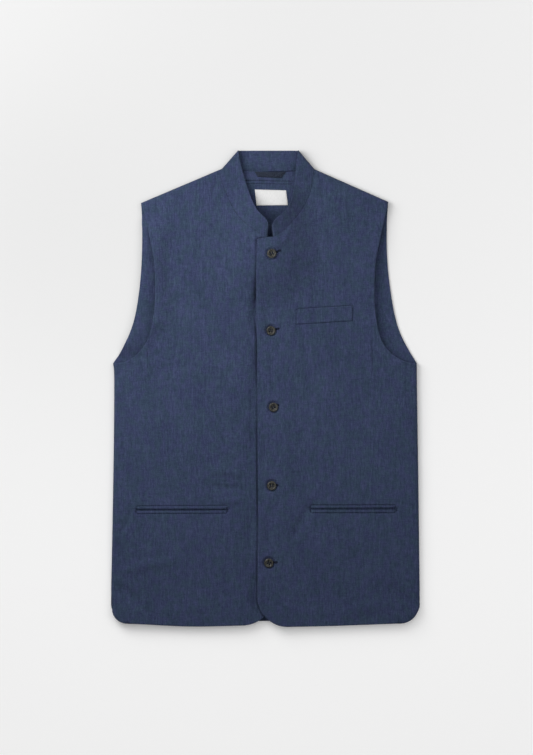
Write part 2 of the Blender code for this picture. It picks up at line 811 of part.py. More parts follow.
def button_mesh():
    """Half a button's section, which a Screw turns."""
    bm = bmesh.new()
    verts = [bm.verts.new((x, 0.0, share * BUTTON_THICK)) for x, share in BUTTON_SECTION]
    for a, b in zip(verts, verts[1:]):
        bm.edges.new((a, b))
    bmesh.ops.scale(bm, vec=(MM, MM, MM), verts=bm.verts)
    mesh = bpy.data.meshes.new("button")
    bm.to_mesh(mesh)
    bm.free()
    return mesh


def hole_cutter(name, collection):
    """Four pins through a button, where it is sewn."""
    bm = bmesh.new()
    for x in (-1, 1):
        for y in (-1, 1):
            made = bmesh.ops.create_cone(
                bm,
                cap_ends=True,
                segments=HOLE_SIDES,
                radius1=HOLE_RADIUS,
                radius2=HOLE_RADIUS,
                depth=HOLE_LENGTH,
            )
            bmesh.ops.translate(bm, vec=(x * HOLE_PITCH, y * HOLE_PITCH, 0.0), verts=made["verts"])
    bmesh.ops.scale(bm, vec=(MM, MM, MM), verts=bm.verts)
    mesh = bpy.data.meshes.new(name)
    bm.to_mesh(mesh)
    bm.free()
    cutter = bpy.data.objects.new(name, mesh)
    collection.objects.link(cutter)
    cutter.hide_render = True
    cutter.display_type = "WIRE"
    return cutter


def make_buttons(surface, collection, cutters):
    for index, (x, y) in enumerate(BUTTONS, start=1):
        button = add_object(f"button_{index}", button_mesh(), "horn", collection)
        angles = [2 * math.pi * k / SEAT_SAMPLES for k in range(SEAT_SAMPLES)]
        rim = [(x + BUTTON_RADIUS * math.cos(a), y + BUTTON_RADIUS * math.sin(a)) for a in angles]
        seat = max(surface_z(surface, *point) for point in [(x, y), *rim])
        button.location = (x * MM, y * MM, (seat + TRIM_GAP) * MM)
        turn = button.modifiers.new("turned", "SCREW")
        turn.steps = turn.render_steps = BUTTON_SIDES
        turn.use_merge_vertices = True
        turn.merge_threshold = SHORTEST_SCREW_EDGE
        cutter = hole_cutter(f"holes_{index}", cutters)
        cutter.location = button.location
        cut = button.modifiers.new("holes", "BOOLEAN")
        cut.operation = "DIFFERENCE"
        cut.object = cutter


def main():
    jacket, cutters = start_scene()
    make_panel("back", back_edges(), height_back, BACK_RIM, BACK_ROLL, BACK_CELL, -1, jacket)
    _, under = make_panel(
        "front_right", front_edges("right"), height_right, FRONT_RIM, FRONT_ROLL, FRONT_CELL, 1, jacket
    )
    _, over = make_panel(
        "front_left", front_edges("left"), height_left, FRONT_RIM, FRONT_ROLL, FRONT_CELL, 1, jacket
    )
    make_collar(jacket)
    make_applied("chest_welt", CHEST_WELT, over, WELT_WALL, WELT_CELLS, jacket)
    make_jets("right", under, jacket)
    make_jets("left", over, jacket)
    make_flat_piece("label", LABEL, LABEL_THICK, "label", jacket)
    make_flat_piece("hanger_loop", LOOP, LOOP_THICK, "tape", jacket)
    make_buttons(over, jacket, cutters)


main()
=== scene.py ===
"""Looks of the sleeveless nehru jacket: navy slub linen, laid flat on its back and buttoned.

Every piece of cloth is remade here as a thin shell on the form of its solid in the frame, with a finer
mesh, creases, seam puckers and turned edges. Tables are in millimetres, as on the page, with +X
towards the wearer's left and +Y towards the collar, and each mesh is scaled to metres when it is made.
"""

import json
import math

import bpy
import numpy as np
from mathutils import Vector, geometry
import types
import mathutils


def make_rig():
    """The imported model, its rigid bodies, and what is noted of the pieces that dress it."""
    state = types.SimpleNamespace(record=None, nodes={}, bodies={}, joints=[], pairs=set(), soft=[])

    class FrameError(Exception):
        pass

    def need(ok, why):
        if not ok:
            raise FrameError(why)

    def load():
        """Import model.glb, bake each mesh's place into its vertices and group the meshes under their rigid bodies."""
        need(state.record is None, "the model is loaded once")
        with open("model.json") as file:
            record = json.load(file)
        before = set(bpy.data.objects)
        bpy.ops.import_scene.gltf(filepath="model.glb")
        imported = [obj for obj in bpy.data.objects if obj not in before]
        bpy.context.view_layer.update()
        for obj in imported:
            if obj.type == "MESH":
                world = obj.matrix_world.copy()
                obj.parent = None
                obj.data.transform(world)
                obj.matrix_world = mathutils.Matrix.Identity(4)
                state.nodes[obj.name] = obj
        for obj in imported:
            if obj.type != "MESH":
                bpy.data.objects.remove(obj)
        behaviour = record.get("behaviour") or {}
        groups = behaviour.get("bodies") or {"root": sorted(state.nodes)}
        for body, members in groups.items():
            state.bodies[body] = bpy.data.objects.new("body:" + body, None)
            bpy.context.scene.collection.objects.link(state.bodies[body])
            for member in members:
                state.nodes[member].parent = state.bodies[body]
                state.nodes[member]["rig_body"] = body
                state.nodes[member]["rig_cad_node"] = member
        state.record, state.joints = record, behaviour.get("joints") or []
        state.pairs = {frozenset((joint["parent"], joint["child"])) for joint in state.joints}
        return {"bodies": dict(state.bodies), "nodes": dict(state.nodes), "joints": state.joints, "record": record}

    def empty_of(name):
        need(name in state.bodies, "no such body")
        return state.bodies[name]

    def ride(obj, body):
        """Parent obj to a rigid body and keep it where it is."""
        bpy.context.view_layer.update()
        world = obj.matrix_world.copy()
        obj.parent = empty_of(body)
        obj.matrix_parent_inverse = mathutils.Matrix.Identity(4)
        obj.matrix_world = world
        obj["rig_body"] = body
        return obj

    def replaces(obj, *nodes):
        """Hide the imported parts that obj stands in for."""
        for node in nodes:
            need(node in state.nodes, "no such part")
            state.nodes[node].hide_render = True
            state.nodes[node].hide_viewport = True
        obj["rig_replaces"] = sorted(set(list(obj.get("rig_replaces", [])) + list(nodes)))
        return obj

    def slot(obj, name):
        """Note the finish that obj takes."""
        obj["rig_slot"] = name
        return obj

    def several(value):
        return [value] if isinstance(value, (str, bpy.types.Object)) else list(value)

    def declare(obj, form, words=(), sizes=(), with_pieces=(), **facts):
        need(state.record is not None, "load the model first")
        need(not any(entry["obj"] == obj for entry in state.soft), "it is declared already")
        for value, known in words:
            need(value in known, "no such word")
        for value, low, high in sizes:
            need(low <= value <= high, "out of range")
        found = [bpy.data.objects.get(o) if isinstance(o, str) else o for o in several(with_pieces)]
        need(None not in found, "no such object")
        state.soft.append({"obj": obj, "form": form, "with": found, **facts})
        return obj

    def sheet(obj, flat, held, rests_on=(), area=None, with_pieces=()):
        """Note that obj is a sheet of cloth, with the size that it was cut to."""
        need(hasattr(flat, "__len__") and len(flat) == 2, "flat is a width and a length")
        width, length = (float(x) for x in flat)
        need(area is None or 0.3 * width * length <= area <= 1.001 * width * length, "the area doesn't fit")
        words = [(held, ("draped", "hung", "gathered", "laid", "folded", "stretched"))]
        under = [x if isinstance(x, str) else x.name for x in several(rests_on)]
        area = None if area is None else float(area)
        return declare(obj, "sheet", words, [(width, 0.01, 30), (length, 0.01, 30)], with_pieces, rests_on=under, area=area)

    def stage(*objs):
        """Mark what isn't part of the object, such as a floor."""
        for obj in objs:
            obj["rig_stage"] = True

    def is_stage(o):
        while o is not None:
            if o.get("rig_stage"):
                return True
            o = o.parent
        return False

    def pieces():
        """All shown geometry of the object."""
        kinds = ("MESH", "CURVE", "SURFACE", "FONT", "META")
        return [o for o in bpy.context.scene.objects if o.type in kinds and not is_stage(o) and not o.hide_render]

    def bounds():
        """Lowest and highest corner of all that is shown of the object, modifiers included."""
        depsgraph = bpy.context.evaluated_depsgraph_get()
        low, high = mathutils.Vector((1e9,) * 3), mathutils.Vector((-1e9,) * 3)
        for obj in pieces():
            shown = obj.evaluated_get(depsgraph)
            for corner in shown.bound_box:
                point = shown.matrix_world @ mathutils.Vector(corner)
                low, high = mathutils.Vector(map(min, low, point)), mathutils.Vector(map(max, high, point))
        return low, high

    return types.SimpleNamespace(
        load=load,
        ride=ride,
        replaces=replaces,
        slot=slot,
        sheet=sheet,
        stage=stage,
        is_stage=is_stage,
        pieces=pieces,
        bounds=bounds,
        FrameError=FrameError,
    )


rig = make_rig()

MM = 0.001
TAU = 2 * math.pi
OUTWARDS = {"right": -1, "left": 1}

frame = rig.load()
cad_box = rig.bounds()

# Sizes of the garment, as its solids have them: the walls and the gaps between them, the height of each
# panel's face and of its rolled edge, and how wide each edge is rolled
WALL = 1.8
COLLAR_WALL = 2.2
COLLAR_GAP = 0.08
LAYER_GAP = 0.75
TOP = 10.0
SINK = 0.5
OVERLAP_TOP = TOP - SINK + LAYER_GAP + WALL
BACK_RIM = 3.0
FRONT_RIM = 5.3
LOWEST_FRONT = 4.6
BACK_LIFT = 8.5
BACK_LIFT_WIDTH = 44.0
TURN = 1.0
FRONT_ROLL = 6.0
BACK_ROLL = 3.6
VENT_DROOP = 0.3

# The fronts stand up at the throat, where the stiff collar holds them
THROAT = (4, 262, 10.6, 219)
THROAT_REACH = 92.0
THROAT_RISE = 22.0

# Both fronts rise a little towards their hem
HEM_LINE = -391.0
HEM_REACH = 60.0
HEM_RISE = 3.0

# The outline in plan
NECK_CORNER = {"right": (-71.5, 363.8), "left": (81.5, 362.8)}
SHOULDER_TIP = {"right": (-205.5, 307), "left": (203.2, 309)}
UNDERARM_Y = 42.7
VENT_Y = -334.0
VENT_INSET = 1.8
HEM_CORNER_Y = -386.2
HEM_CORNER_RADIUS = {"right": 24.0, "left": 30.0}
VENT_START = 10.0
BACK_HEM_Y = -384.0
BACK_CORNER_RADIUS = 26.0
BACK_CORNER_UP = 2.0
BACK_CORNER_OUT = 0.4

# As (y, x on the wearer's right, x on the wearer's left)
SIDE_SEAM = (
    (UNDERARM_Y, -251.5, 250.3),
    (15, -249.7, 250.5),
    (-100, -250.5, 252.2),
    (-225, -252.6, 253.9),
    (VENT_Y, -254.8, 255.2),
)
BACK_ARMHOLE = (
    (270, -203.3, 201),
    (220, -203.6, 201.4),
    (170, -207.1, 206),
    (121, -214.7, 214.3),
    (90, -224.5, 224),
    (62, -238.5, 238.5),
)
FRONT_ARMHOLE = (
    (280, -197.2, 196.8),
    (244, -189.5, 188.8),
    (205, -182.5, 181.8),
    (155, -181.2, 180),
    (120, -184.6, 182.2),
    (87, -191.9, 189.2),
    (65, -204, 201.5),
    (50, -221, 220.5),
    (43.5, -237, 237),
)
FRONT_NECK = {
    "right": ((-73.8, 352), (-66.5, 328), (-50, 292.5), (-33, 272.8), (-14, 258.8), (3.8, 246.4)),
    "left": ((78.8, 348), (73, 320), (58, 291.5), (39.5, 269), (27, 256.9), (12.7, 249.4)),
}
BACK_NECK = ((-35, 360.2), (4, 359.4), (45, 360))
# The free edges of each front, from its neck down. The wearer's right lies beneath, the left above.
FREE_EDGES = {
    "right": {
        "top": ((32.5, 244.5),),
        "down": ((32, 235), (25, 0), (18.6, -310)),
        "corner": (18.8, -389.8),
        "radius": 58,
        "hem": ((-44, -390.4), (-124, -391.9), (-203, -388.2)),
    },
    "left": {
        "top": ((4.5, 248.9), (-13.4, 245.4)),
        "down": ((-14.9, 196), (-14.9, 117), (-13.3, 60), (-12.6, -100), (-12, -213), (-12.9, -310)),
        "corner": (-13, -392),
        "radius": 50,
        "hem": ((55, -392.6), (110, -391), (203, -387.6)),
    },
}

COLLAR_FOLD = {"right": (-44.7, 394), "left": (54.6, 394)}
# The collar's top edge, and how far it stands above its seam: at the fold, at its crest and at its end
COLLAR_EDGE = {
    "right": (
        (-39.8, 368.2), (-33, 343), (-24.6, 317.7), (-15.5, 297), (-5.5, 285), (2, 277.6), (4.5, 269.5)
    ),
    "left": ((51.2, 371.5), (48.7, 343), (44.4, 317.7), (38, 299.5), (27.6, 287.3), (17, 278.4), (11, 268)),
}
COLLAR_RISE = {"right": (4.5, 5.8, 7), "left": (6, 7, 8)}
COLLAR_CREST = 0.6
# Height of the back's top edge and of the front's where they meet in the fold
COLLAR_FOLD_RIM = (6.2, 7.6)
COLLAR_FOLD_ROLL = 5.0
COLLAR_SAMPLE = 4.0
# The band bows outwards over the fronts, this far from its ends and above its fold's rim
COLLAR_BOW = 0.9
COLLAR_BOW_RUN = 72.0
COLLAR_BOW_CLIMB = 4.0
# Its end on the wearer's right tucks under
COLLAR_TUCK = 2.2
COLLAR_TUCK_LENGTH = 36.0
# Its back is crowned, and comes down fast beside the left fold and slowly beside the right one
COLLAR_CROWN = 2.6
COLLAR_CROWN_RUN = (10, 36)
COLLAR_CROWN_SHARE = (0.25, 0.3)
# Its turned top edge (width, slope, step), its seam's puckers (depth, reach, wavelength), its waves
# (height, wavelength), and the share of all this where it lies flat
COLLAR_HEM = (7.0, 2.5, 0.12)
COLLAR_PUCKER = (0.16, 7.0, 10.5)
COLLAR_WAVE = (0.2, 61.0)
COLLAR_UPRIGHT = 3.0
COLLAR_FLAT_SHARE = 0.35
COLLAR_ROWS = (0.0, 0.02, 0.05, 0.1, *np.linspace(0.17, 0.83, 9), 0.9, 0.95, 0.98, 1.0)

# The trims in plan: corners low left, low right, high right and high left, or an axis
CHEST_WELT = ((51.2, 106.8), (143.2, 112.6), (144, 137.5), (53, 131.6))
POCKET_JETS = {
    "right": {"ends": (-212.2, -64.7), "slit": -199.5, "tilt": 0.6, "gap": (3.6, 2.6)},
    "left": {"ends": (75.4, 213.7), "slit": -198.2, "tilt": 0.2, "gap": (3.6, 4.6)},
}
JETS_REACH = 5.7
LABEL = ((-14.5, 302.8), (37.3, 303.3), (34.3, 327.8), (-17.3, 329.1))
LOOP = ((-12.5, 350.2), (26, 348.4), (34, 358.6), (-17, 358.6))
BUTTONS = ((10.6, 221.6), (9.4, 95.9), (13.4, -30.4), (10.6, -159.8), (5.8, -287.3))
BUTTON_RADIUS = 7.8

# The sewing pulls each button down into the fronts
DIMPLE = 3.2
DIMPLE_FLOOR = 7.8
DIMPLE_SLOPE = 4.4
DIMPLE_RINGS = (4.6, 6.8, 7.9, 8.7, 9.5, 10.4, 11.5, 12.9, 14.6)

# A turned edge is rounded off, and a facing lies inside the back of the neck
LIP_DROP = 0.4
LIP_WIDTH = 1.7
FACING_Y = 334.0
FACING_STEP = 1.3
FACING_SLOPE = 0.9
FACING_LINES = ((-34, 344, 46, 343.2, 0.8, 0.9), (-32, 338.8, 44, 338.4, 1, 0.9))

# Beside the upper front's edge the lower front sinks: how deep, how wide in the open, how far beneath the
# upper front (distance, slope), and the reach of the shallow part in the open
CREVICE_DEPTH = 3.4
CREVICE_WIDTH = 2.4
CREVICE_BENEATH = (5.0, 7.0)
CREVICE_REACH = 6.0

# The lower front under the upper one, and where its waves end: (x, slope)
COVERED = (-34, 18)
WAVES_END = (-22, 8)
# Where the upper front comes clear of the lower one: (distance from its edge, slope)
CLEAR = (6, 34)
STILL_WAVED = 0.15
WAVE_SEEDS = {"right": 11, "left": 23, "back": 37}
WAVE_SIZE = 0.3

# The allowances folded back along a front's free edges: width, and how much they lift the cloth
ALLOWANCES = (("armhole", 11, 0.22), ("centre", 34, 0.28), ("hem", 30, 0.2), ("top", 9, 0))
ALLOWANCE_SLOPE = 3.5
# The puckers along its edges: reach, depth and wavelength
PUCKERS = (
    ("armhole", 8, 0.16, 11),
    ("shoulder", 9, 0.22, 9),
    ("side", 13, 0.24, 17),
    ("neck", 8, 0.2, 9.5),
    ("centre", 7, 0.09, 21),
    ("hem", 10, 0.12, 19),
)
PUCKER_PHASE = {"right": 0.4, "left": 2.1}
NECK_LIP = 0.35

# The back: how high it lies, its allowances (width, slope, lift) and puckers (reach, depth, wavelength,
# phase), and where its armhole on the wearer's right is lifted (from y, to y, slope)
BACK_LEVEL = 0.4
BACK_ALLOWANCE = (10.0, 2.0, 0.3)
BACK_PUCKER = (9.0, 0.12, 12.0, 1.0)
BACK_LIFT_ENDS = (48.0, 298.0, 30.0)

# Mesh density
EDGE_STEP = 5.0
NECK_STEP = 4.0
ROLL_ROWS = 7
PANEL_CELL = 3.6
SPOT_CELL = 1.7
BACK_CELLS = (7.5, 3.6)
ROW_STEP = 2.5
EDGE_ROWS = (0.5, 1.0, 1.7, 2.6)
EDGE_CLEAR = 3.4
GROOVE_ROWS = (-2.4, -1.3, -0.6, 0.0, 0.6, 1.3, 2.4)
GROOVE_CLEAR = 0.8
RING_STEP = 2.0
RING_CLEAR = 1.6
PATH_ROWS = (-13, -9, -6, -2.5, 0.3, 1.2, 2.1, 3, 4.2, 5.8, 8, 11)
PATH_STEP = 3.0
PATH_SHORTEST = 0.2
PATH_CLEAR = 1.2
PATCH_ENDS = (0.0, 0.3, 0.8, 1.6)

# Main creases as (from x, from y, to x, to y, half width, rise). Those of "both" lie across the overlap.
FOLDS = {
    "front_right": (
        (-182, 250, -184, 120, 36, 10),
        (-190, 105, -228, 58, 26, 5),
        (-84, -136, -46, -139, 10, 2.6),
        (-86, -163, -44, -164, 9, -2.4),
        (-72, -184, -42, -186, 8, 2),
        (-228, -298, -162, -286, 13, 2.53),
        (-17, 172, -16, 96, 13, -3.8),
        (-82, 338, -88, 318, 6, -1.84),
        (-196, 62, -194, 22, 9, 2.07),
        (-22, -56, -22, -110, 14, -2.8),
        (-24, -206, -24, -264, 15, -2.8),
        (-19, -318, -14, -378, 12, -3.4),
        (-222, -206, -240, -240, 7, -2.6),
        (-240, 18, -236, -8, 9, 1.84),
        (-210, 40, -150, 52, 14, 1.16),
        (-100, 40, -24, 44, 12, 0.8),
        (-236, -330, -212, -352, 14, -3.4),
        (-150, -372, -88, -352, 12, 1.04),
        (-92, 262, -112, 214, 12, -1.04),
        (-120, -20, -124, -100, 10, 0.8),
        (-168, 10, -176, -90, 12, 0.92),
        (-16, 66, -17, -44, 11, -2.6),
    ),
    "front_left": (
        (184, 240, 186, 125, 46, 4),
        (190, 105, 228, 58, 26, 3.5),
        (44, 266, -4, 211, 12, 2.4),
        (50, 291, 24, 244, 6, -1.8),
        (-10, 184, -10, 98, 13, 3),
        (-10, -56, -10, -112, 12, 1.6),
        (-9, -204, -9, -264, 12, 1.6),
        (-10, -316, -8, -380, 13, 3.6),
        (80, -190, 40, -246, 14, -3.4),
        (66, 205, 72, 120, 12, 1.6),
        (92, 336, 96, 312, 6, -1.84),
        (172, 66, 176, 14, 9, 1.84),
        (120, -372, 196, -356, 16, 2.2),
        (24, -134, 60, -139, 8, -0.92),
        (86, 262, 92, 212, 11, -1.1),
        (112, 330, 116, 270, 9, 1),
        (138, 318, 142, 262, 9, -1),
        (100, 60, 104, -30, 10, 0.8),
        (210, -330, 238, -352, 14, -3.4),
        (96, -232, 150, -262, 14, 0.8),
        (30, -40, 34, -120, 9, 0.92),
        (226, 20, 232, -60, 10, 0.92),
        (60, -330, 30, -366, 13, 1.16),
    ),
    "both": (
        (13, 62, 14, 2, 11, -1.6),
        (12, -66, 12, -132, 11, -1.2),
        (8, -196, 7, -258, 11, -1.6),
    ),
    "back": (
        (-120, 330, -132, 250, 10, 0.68),
        (116, 330, 128, 256, 10, 0.68),
        (-60, -376, -64, -320, 10, 0.68),
        (90, -376, 96, -310, 12, 0.68),
        (-206, 120, -196, 60, 8, 0.54),
        (208, 118, 198, 62, 8, 0.54),
        (-56, 318, 76, 313, 46, 6.5),
    ),
}
# Gathers eased into the shoulder seams beside the collar: (x on the seam, length down from it, depth)
SHOULDER_EASE = {
    "right": ((-75, 24, 1.2), (-79, 30, 1.52), (-84.5, 20, 0.98), (-91, 26, 0.87), (-104, 18, 0.65)),
    "left": ((84, 22, 1.08), (88.5, 30, 1.52), (94, 24, 1.2), (101, 28, 0.98), (116, 20, 0.65)),
}
EASE_LEAN = {"right": -0.12, "left": 0.1}
EASE_HALF_WIDTH = 1.9
DART = {"right": (-193.5, 60, -190.5, -14), "left": (176.5, 78, 178.5, -4)}
DART_GROOVE = {"right": (-193.5, 62, -191.5, 20, 0.35, 0.9), "left": (176.5, 80, 177.6, 30, 0.35, 0.9)}


# Curves in the plane


def smooth_curve(points, step=EDGE_STEP):
    """A Catmull-Rom curve through the points, with a sample about every step millimetres."""
    points = [Vector(point) for point in points]
    padded = [2 * points[0] - points[1], *points, 2 * points[-1] - points[-2]]
    samples = []
    for a, b, c, d in zip(padded, padded[1:], padded[2:], padded[3:]):
        first, second, third = c - a, 2 * a - 5 * b + 4 * c - d, 3 * b - a - 3 * c + d
        count = max(1, round((c - b).length / step))
        for i in range(count):
            t = i / count
            samples.append(0.5 * (2 * b + first * t + second * t**2 + third * t**3))
    return [*samples, points[-1]]


def rounded_corner(before, corner, after, radius):
    before, corner, after = Vector(before), Vector(corner), Vector(after)
    back, ahead = (before - corner).normalized(), (after - corner).normalized()
    half = back.angle(ahead) / 2
    centre = corner + (back + ahead).normalized() * (radius / math.sin(half))
    spoke = corner + back * (radius / math.tan(half)) - centre
    turn = spoke.angle_signed(corner + ahead * (radius / math.tan(half)) - centre)
    steps = max(4, round(abs(turn) * radius / EDGE_STEP))
    arc = []
    for i in range(steps + 1):
        c, s = math.cos(-turn * i / steps), math.sin(-turn * i / steps)
        arc.append(centre + Vector((spoke.x * c - spoke.y * s, spoke.x * s + spoke.y * c)))
    return arc


def along(points, distance):
    """The point that lies this far along a polyline, and the polyline's points after it."""
    for i, (a, b) in enumerate(zip(points, points[1:])):
        length = (b - a).length
        if distance < length - 0.5:
            return a.lerp(b, distance / length), points[i + 1 :]
        distance -= length
    raise ValueError("the edge is shorter than the roll")


def at_fraction(points, fraction):
    lengths = [(b - a).length for a, b in zip(points, points[1:])]
    wanted = fraction * sum(lengths)
    for a, b, length in zip(points, points[1:], lengths):
        if wanted <= length:
            return a.lerp(b, wanted / length)
        wanted -= length
    return points[-1]


def fractions(points):
    lengths = [0.0]
    for a, b in zip(points, points[1:]):
        lengths.append(lengths[-1] + (b - a).length)
    return [length / lengths[-1] for length in lengths]


def side_column(table, side):
    column = 1 if side == "right" else 2
    return [Vector((row[column], row[0])) for row in table]


def front_neck(side):
    return smooth_curve([Vector(NECK_CORNER[side]), *map(Vector, FRONT_NECK[side])], NECK_STEP)


def back_neck():
    corners = Vector(NECK_CORNER["right"]), Vector(NECK_CORNER["left"])
    return smooth_curve([corners[0], *map(Vector, BACK_NECK), corners[1]])


def ease(t):
    """Rises softly from 0 to 1."""
    t = np.clip(t, 0.0, 1.0)
    return t * t * (3 - 2 * t)


def climb(value, start, run):
    """Rises softly from 0 to 1 over the run that begins at start."""
    return ease((value - start) / run)


def bell(value, half_width=1.0):
    """1 at 0, and falling away softly on both sides."""
    return np.exp(-((value / half_width) ** 2))


def left_of(direction):
    """The direction a quarter turn to the left."""
    return Vector((-direction.y, direction.x))


def roll_profile(row, rows):
    angle = 0.5 * math.pi * row / rows
    return 1 - math.cos(angle), math.sin(angle)


# Heights, over arrays of points in the plane


def to_segment(x, y, x0, y0, x1, y1):
    """Distance to a segment, how far along it the nearest point is, and the signed offset from its line."""
    dx, dy = x1 - x0, y1 - y0
    length_squared = dx * dx + dy * dy
    t = np.clip(((x - x0) * dx + (y - y0) * dy) / length_squared, 0.0, 1.0)
    signed = ((x - x0) * dy - (y - y0) * dx) / math.sqrt(length_squared)
    return np.hypot(x - x0 - t * dx, y - y0 - t * dy), t, signed


def to_polyline(x, y, points):
    """Distance to a polyline, and the length along it to the nearest point."""
    best = np.full(x.shape, 1e9)
    arc = np.zeros(x.shape)
    walked = 0.0
    for a, b in zip(points, points[1:]):
        length = (b - a).length
        if length < 1e-6:
            continue
        distance, t, _ = to_segment(x, y, a.x, a.y, b.x, b.y)
        nearer = distance < best
        best = np.where(nearer, distance, best)
        arc = np.where(nearer, walked + t * length, arc)
        walked += length
    return best, arc


def fold_rise(name, x, y):
    """The height of the main creases: each soft, strongest in its middle, and a little crooked."""
    total = np.zeros(x.shape)
    for number, (x0, y0, x1, y1, half_width, rise) in enumerate(FOLDS.get(name, ())):
        length = math.hypot(x1 - x0, y1 - y0)
        dx, dy = (x1 - x0) / length, (y1 - y0) / length
        forward = (x - x0) * dx + (y - y0) * dy
        bend = 0.16 * half_width * np.sin(TAU * forward / (1.3 * length) + 1.7 * number)
        distance, t, _ = to_segment(x - bend * dy, y + bend * dx, x0, y0, x1, y1)
        off = np.clip(distance / half_width, 0.0, 1.0)
        total += rise * np.cos(0.5 * math.pi * off) ** 2 * (0.6 + 0.4 * np.sin(math.pi * t))
    return total


def undulation(x, y, seed):
    """Broad unevenness of cloth that has been laid down and smoothed by hand."""
    draw = np.random.default_rng(seed)
    total = np.zeros(x.shape)
    for _ in range(14):
        wavelength = draw.uniform(38.0, 150.0)
        direction = draw.uniform(0, math.pi)
        phase = draw.uniform(0, TAU)
        along_wave = x * math.cos(direction) + y * math.sin(direction)
        across_wave = y * math.cos(direction) - x * math.sin(direction)
        bend = 9.0 * np.sin(TAU * across_wave / 190.0 + 3 * phase)
        total += (wavelength / 150.0) * np.sin(TAU * (along_wave + bend) / wavelength + phase)
    return WAVE_SIZE * total / 3.0


def throat_rise(x, y):
    distance, _, _ = to_segment(x, y, *THROAT)
    return THROAT_RISE * (0.5 - 0.5 * np.cos(math.pi * np.clip(1 - distance / THROAT_REACH, 0.0, 1.0)))


def hem_rise(y):
    return HEM_RISE * (1 - climb(y, HEM_LINE, HEM_REACH))


def under_edge_x(y):
    top, *_, bottom = FREE_EDGES["right"]["down"]
    return bottom[0] + (top[0] - bottom[0]) * (y - bottom[1]) / (top[1] - bottom[1])


def button_dimples(x, y):
    total = np.zeros(x.shape)
    for button_x, button_y in BUTTONS:
        total -= DIMPLE * (1 - climb(np.hypot(x - button_x, y - button_y), DIMPLE_FLOOR, DIMPLE_SLOPE))
    return total


def smooth_right(x, y):
    shown = 1 - climb(x, *WAVES_END)
    folds = fold_rise("front_right", x, y)
    relief = np.where(folds > 0, shown * folds, folds) + shown * undulation(x, y, WAVE_SEEDS["right"])
    relief += fold_rise("both", x, y)
    resting = TOP - SINK * climb(x, *COVERED)
    return resting + throat_rise(x, y) + hem_rise(y) + relief + button_dimples(x, y)


def smooth_left(x, y):
    clear = climb(x - under_edge_x(y), *CLEAR)
    folds = fold_rise("front_left", x, y)
    return (
        OVERLAP_TOP
        + (TOP - OVERLAP_TOP) * clear
        + np.where(folds > 0, folds, folds * clear)
        + undulation(x, y, WAVE_SEEDS["left"]) * (STILL_WAVED + (1 - STILL_WAVED) * clear)
        + throat_rise(x, y)
        + hem_rise(y)
        + fold_rise("both", x, y)
        + button_dimples(x, y)
    )


def shoulder_ease(side, x, y):
    """Short gathers that run down from the shoulder seam."""
    corner, tip = Vector(NECK_CORNER[side]), Vector(SHOULDER_TIP[side])
    total = np.zeros(x.shape)
    for at_x, length, depth in SHOULDER_EASE[side]:
        top = corner.lerp(tip, (at_x - corner.x) / (tip.x - corner.x))
        off = (x - top.x - EASE_LEAN[side] * (top.y - y)) / EASE_HALF_WIDTH
        fade = 1 - ease((top.y - y) / length)
        total -= depth * bell(off) * fade
        total += 0.5 * depth * bell(off - 1.6) * fade
    return total


def dart(side, x, y):
    """The pressed seam of the dart below the armhole: a fine groove that fades downwards."""
    distance, t, _ = to_segment(x, y, *DART[side])
    return -0.5 * bell(distance, 1.5) * (1 - t) ** 0.6 + 0.16 * bell(distance, 6.0) * (1 - t)


def seam_pucker(x, y, seam, reach, depth, wavelength, phase):
    """Small uneven ripples across a seam."""
    distance, arc = to_polyline(x, y, seam)
    uneven = 0.65 + 0.35 * np.sin(TAU * arc / (4.3 * wavelength) + 2 * phase)
    ripple = np.sin(TAU * arc / wavelength + phase) * uneven
    return depth * ripple * np.exp(-distance / reach)


# The panels' edges, as named polylines


def side_edge(side, hem_corner, hem_next, radius, inset, droop):
    """The side seam, the vent's edge and the round hem corner, and how far each point is rolled."""
    seam = smooth_curve(side_column(SIDE_SEAM, side))
    vent_start = Vector((seam[-1].x - OUTWARDS[side] * inset, VENT_Y - VENT_START))
    corner = rounded_corner(vent_start, hem_corner, hem_next, radius)
    amounts = [1.0] * len(seam) + [droop] * (len(corner) - 1) + [0.5 * droop, 0.0]
    return [*seam, vent_start, *corner], amounts


def front_edges(side):
    """The edges of one front by name, anticlockwise on the wearer's right and clockwise on the left."""
    tip, free = Vector(SHOULDER_TIP[side]), FREE_EDGES[side]
    vent_x = side_column(SIDE_SEAM, side)[-1].x - OUTWARDS[side] * VENT_INSET
    side_points, side_amounts = side_edge(
        side, (vent_x, HEM_CORNER_Y), free["hem"][-1], HEM_CORNER_RADIUS[side], VENT_INSET, VENT_DROOP
    )
    corner = rounded_corner(free["down"][-1], free["corner"], free["hem"][0], free["radius"])
    neck = front_neck(side)
    top = [neck[-1], *map(Vector, free["top"])]
    down = smooth_curve([top[-1], *free["down"]])
    shoulder = smooth_curve([Vector(NECK_CORNER[side]), tip])
    return {
        "hem": (smooth_curve([corner[-1], *free["hem"][1:], side_points[-1]])[::-1], None),
        "centre": (corner[::-1] + down[-2::-1], None),
        "top": (top[::-1], None),
        "neck": (neck[::-1], None),
        "shoulder": (shoulder, [1.0] * len(shoulder)),
        "armhole": (smooth_curve([tip, *side_column(FRONT_ARMHOLE, side), side_points[0]]), None),
        "side": (side_points, side_amounts),
    }


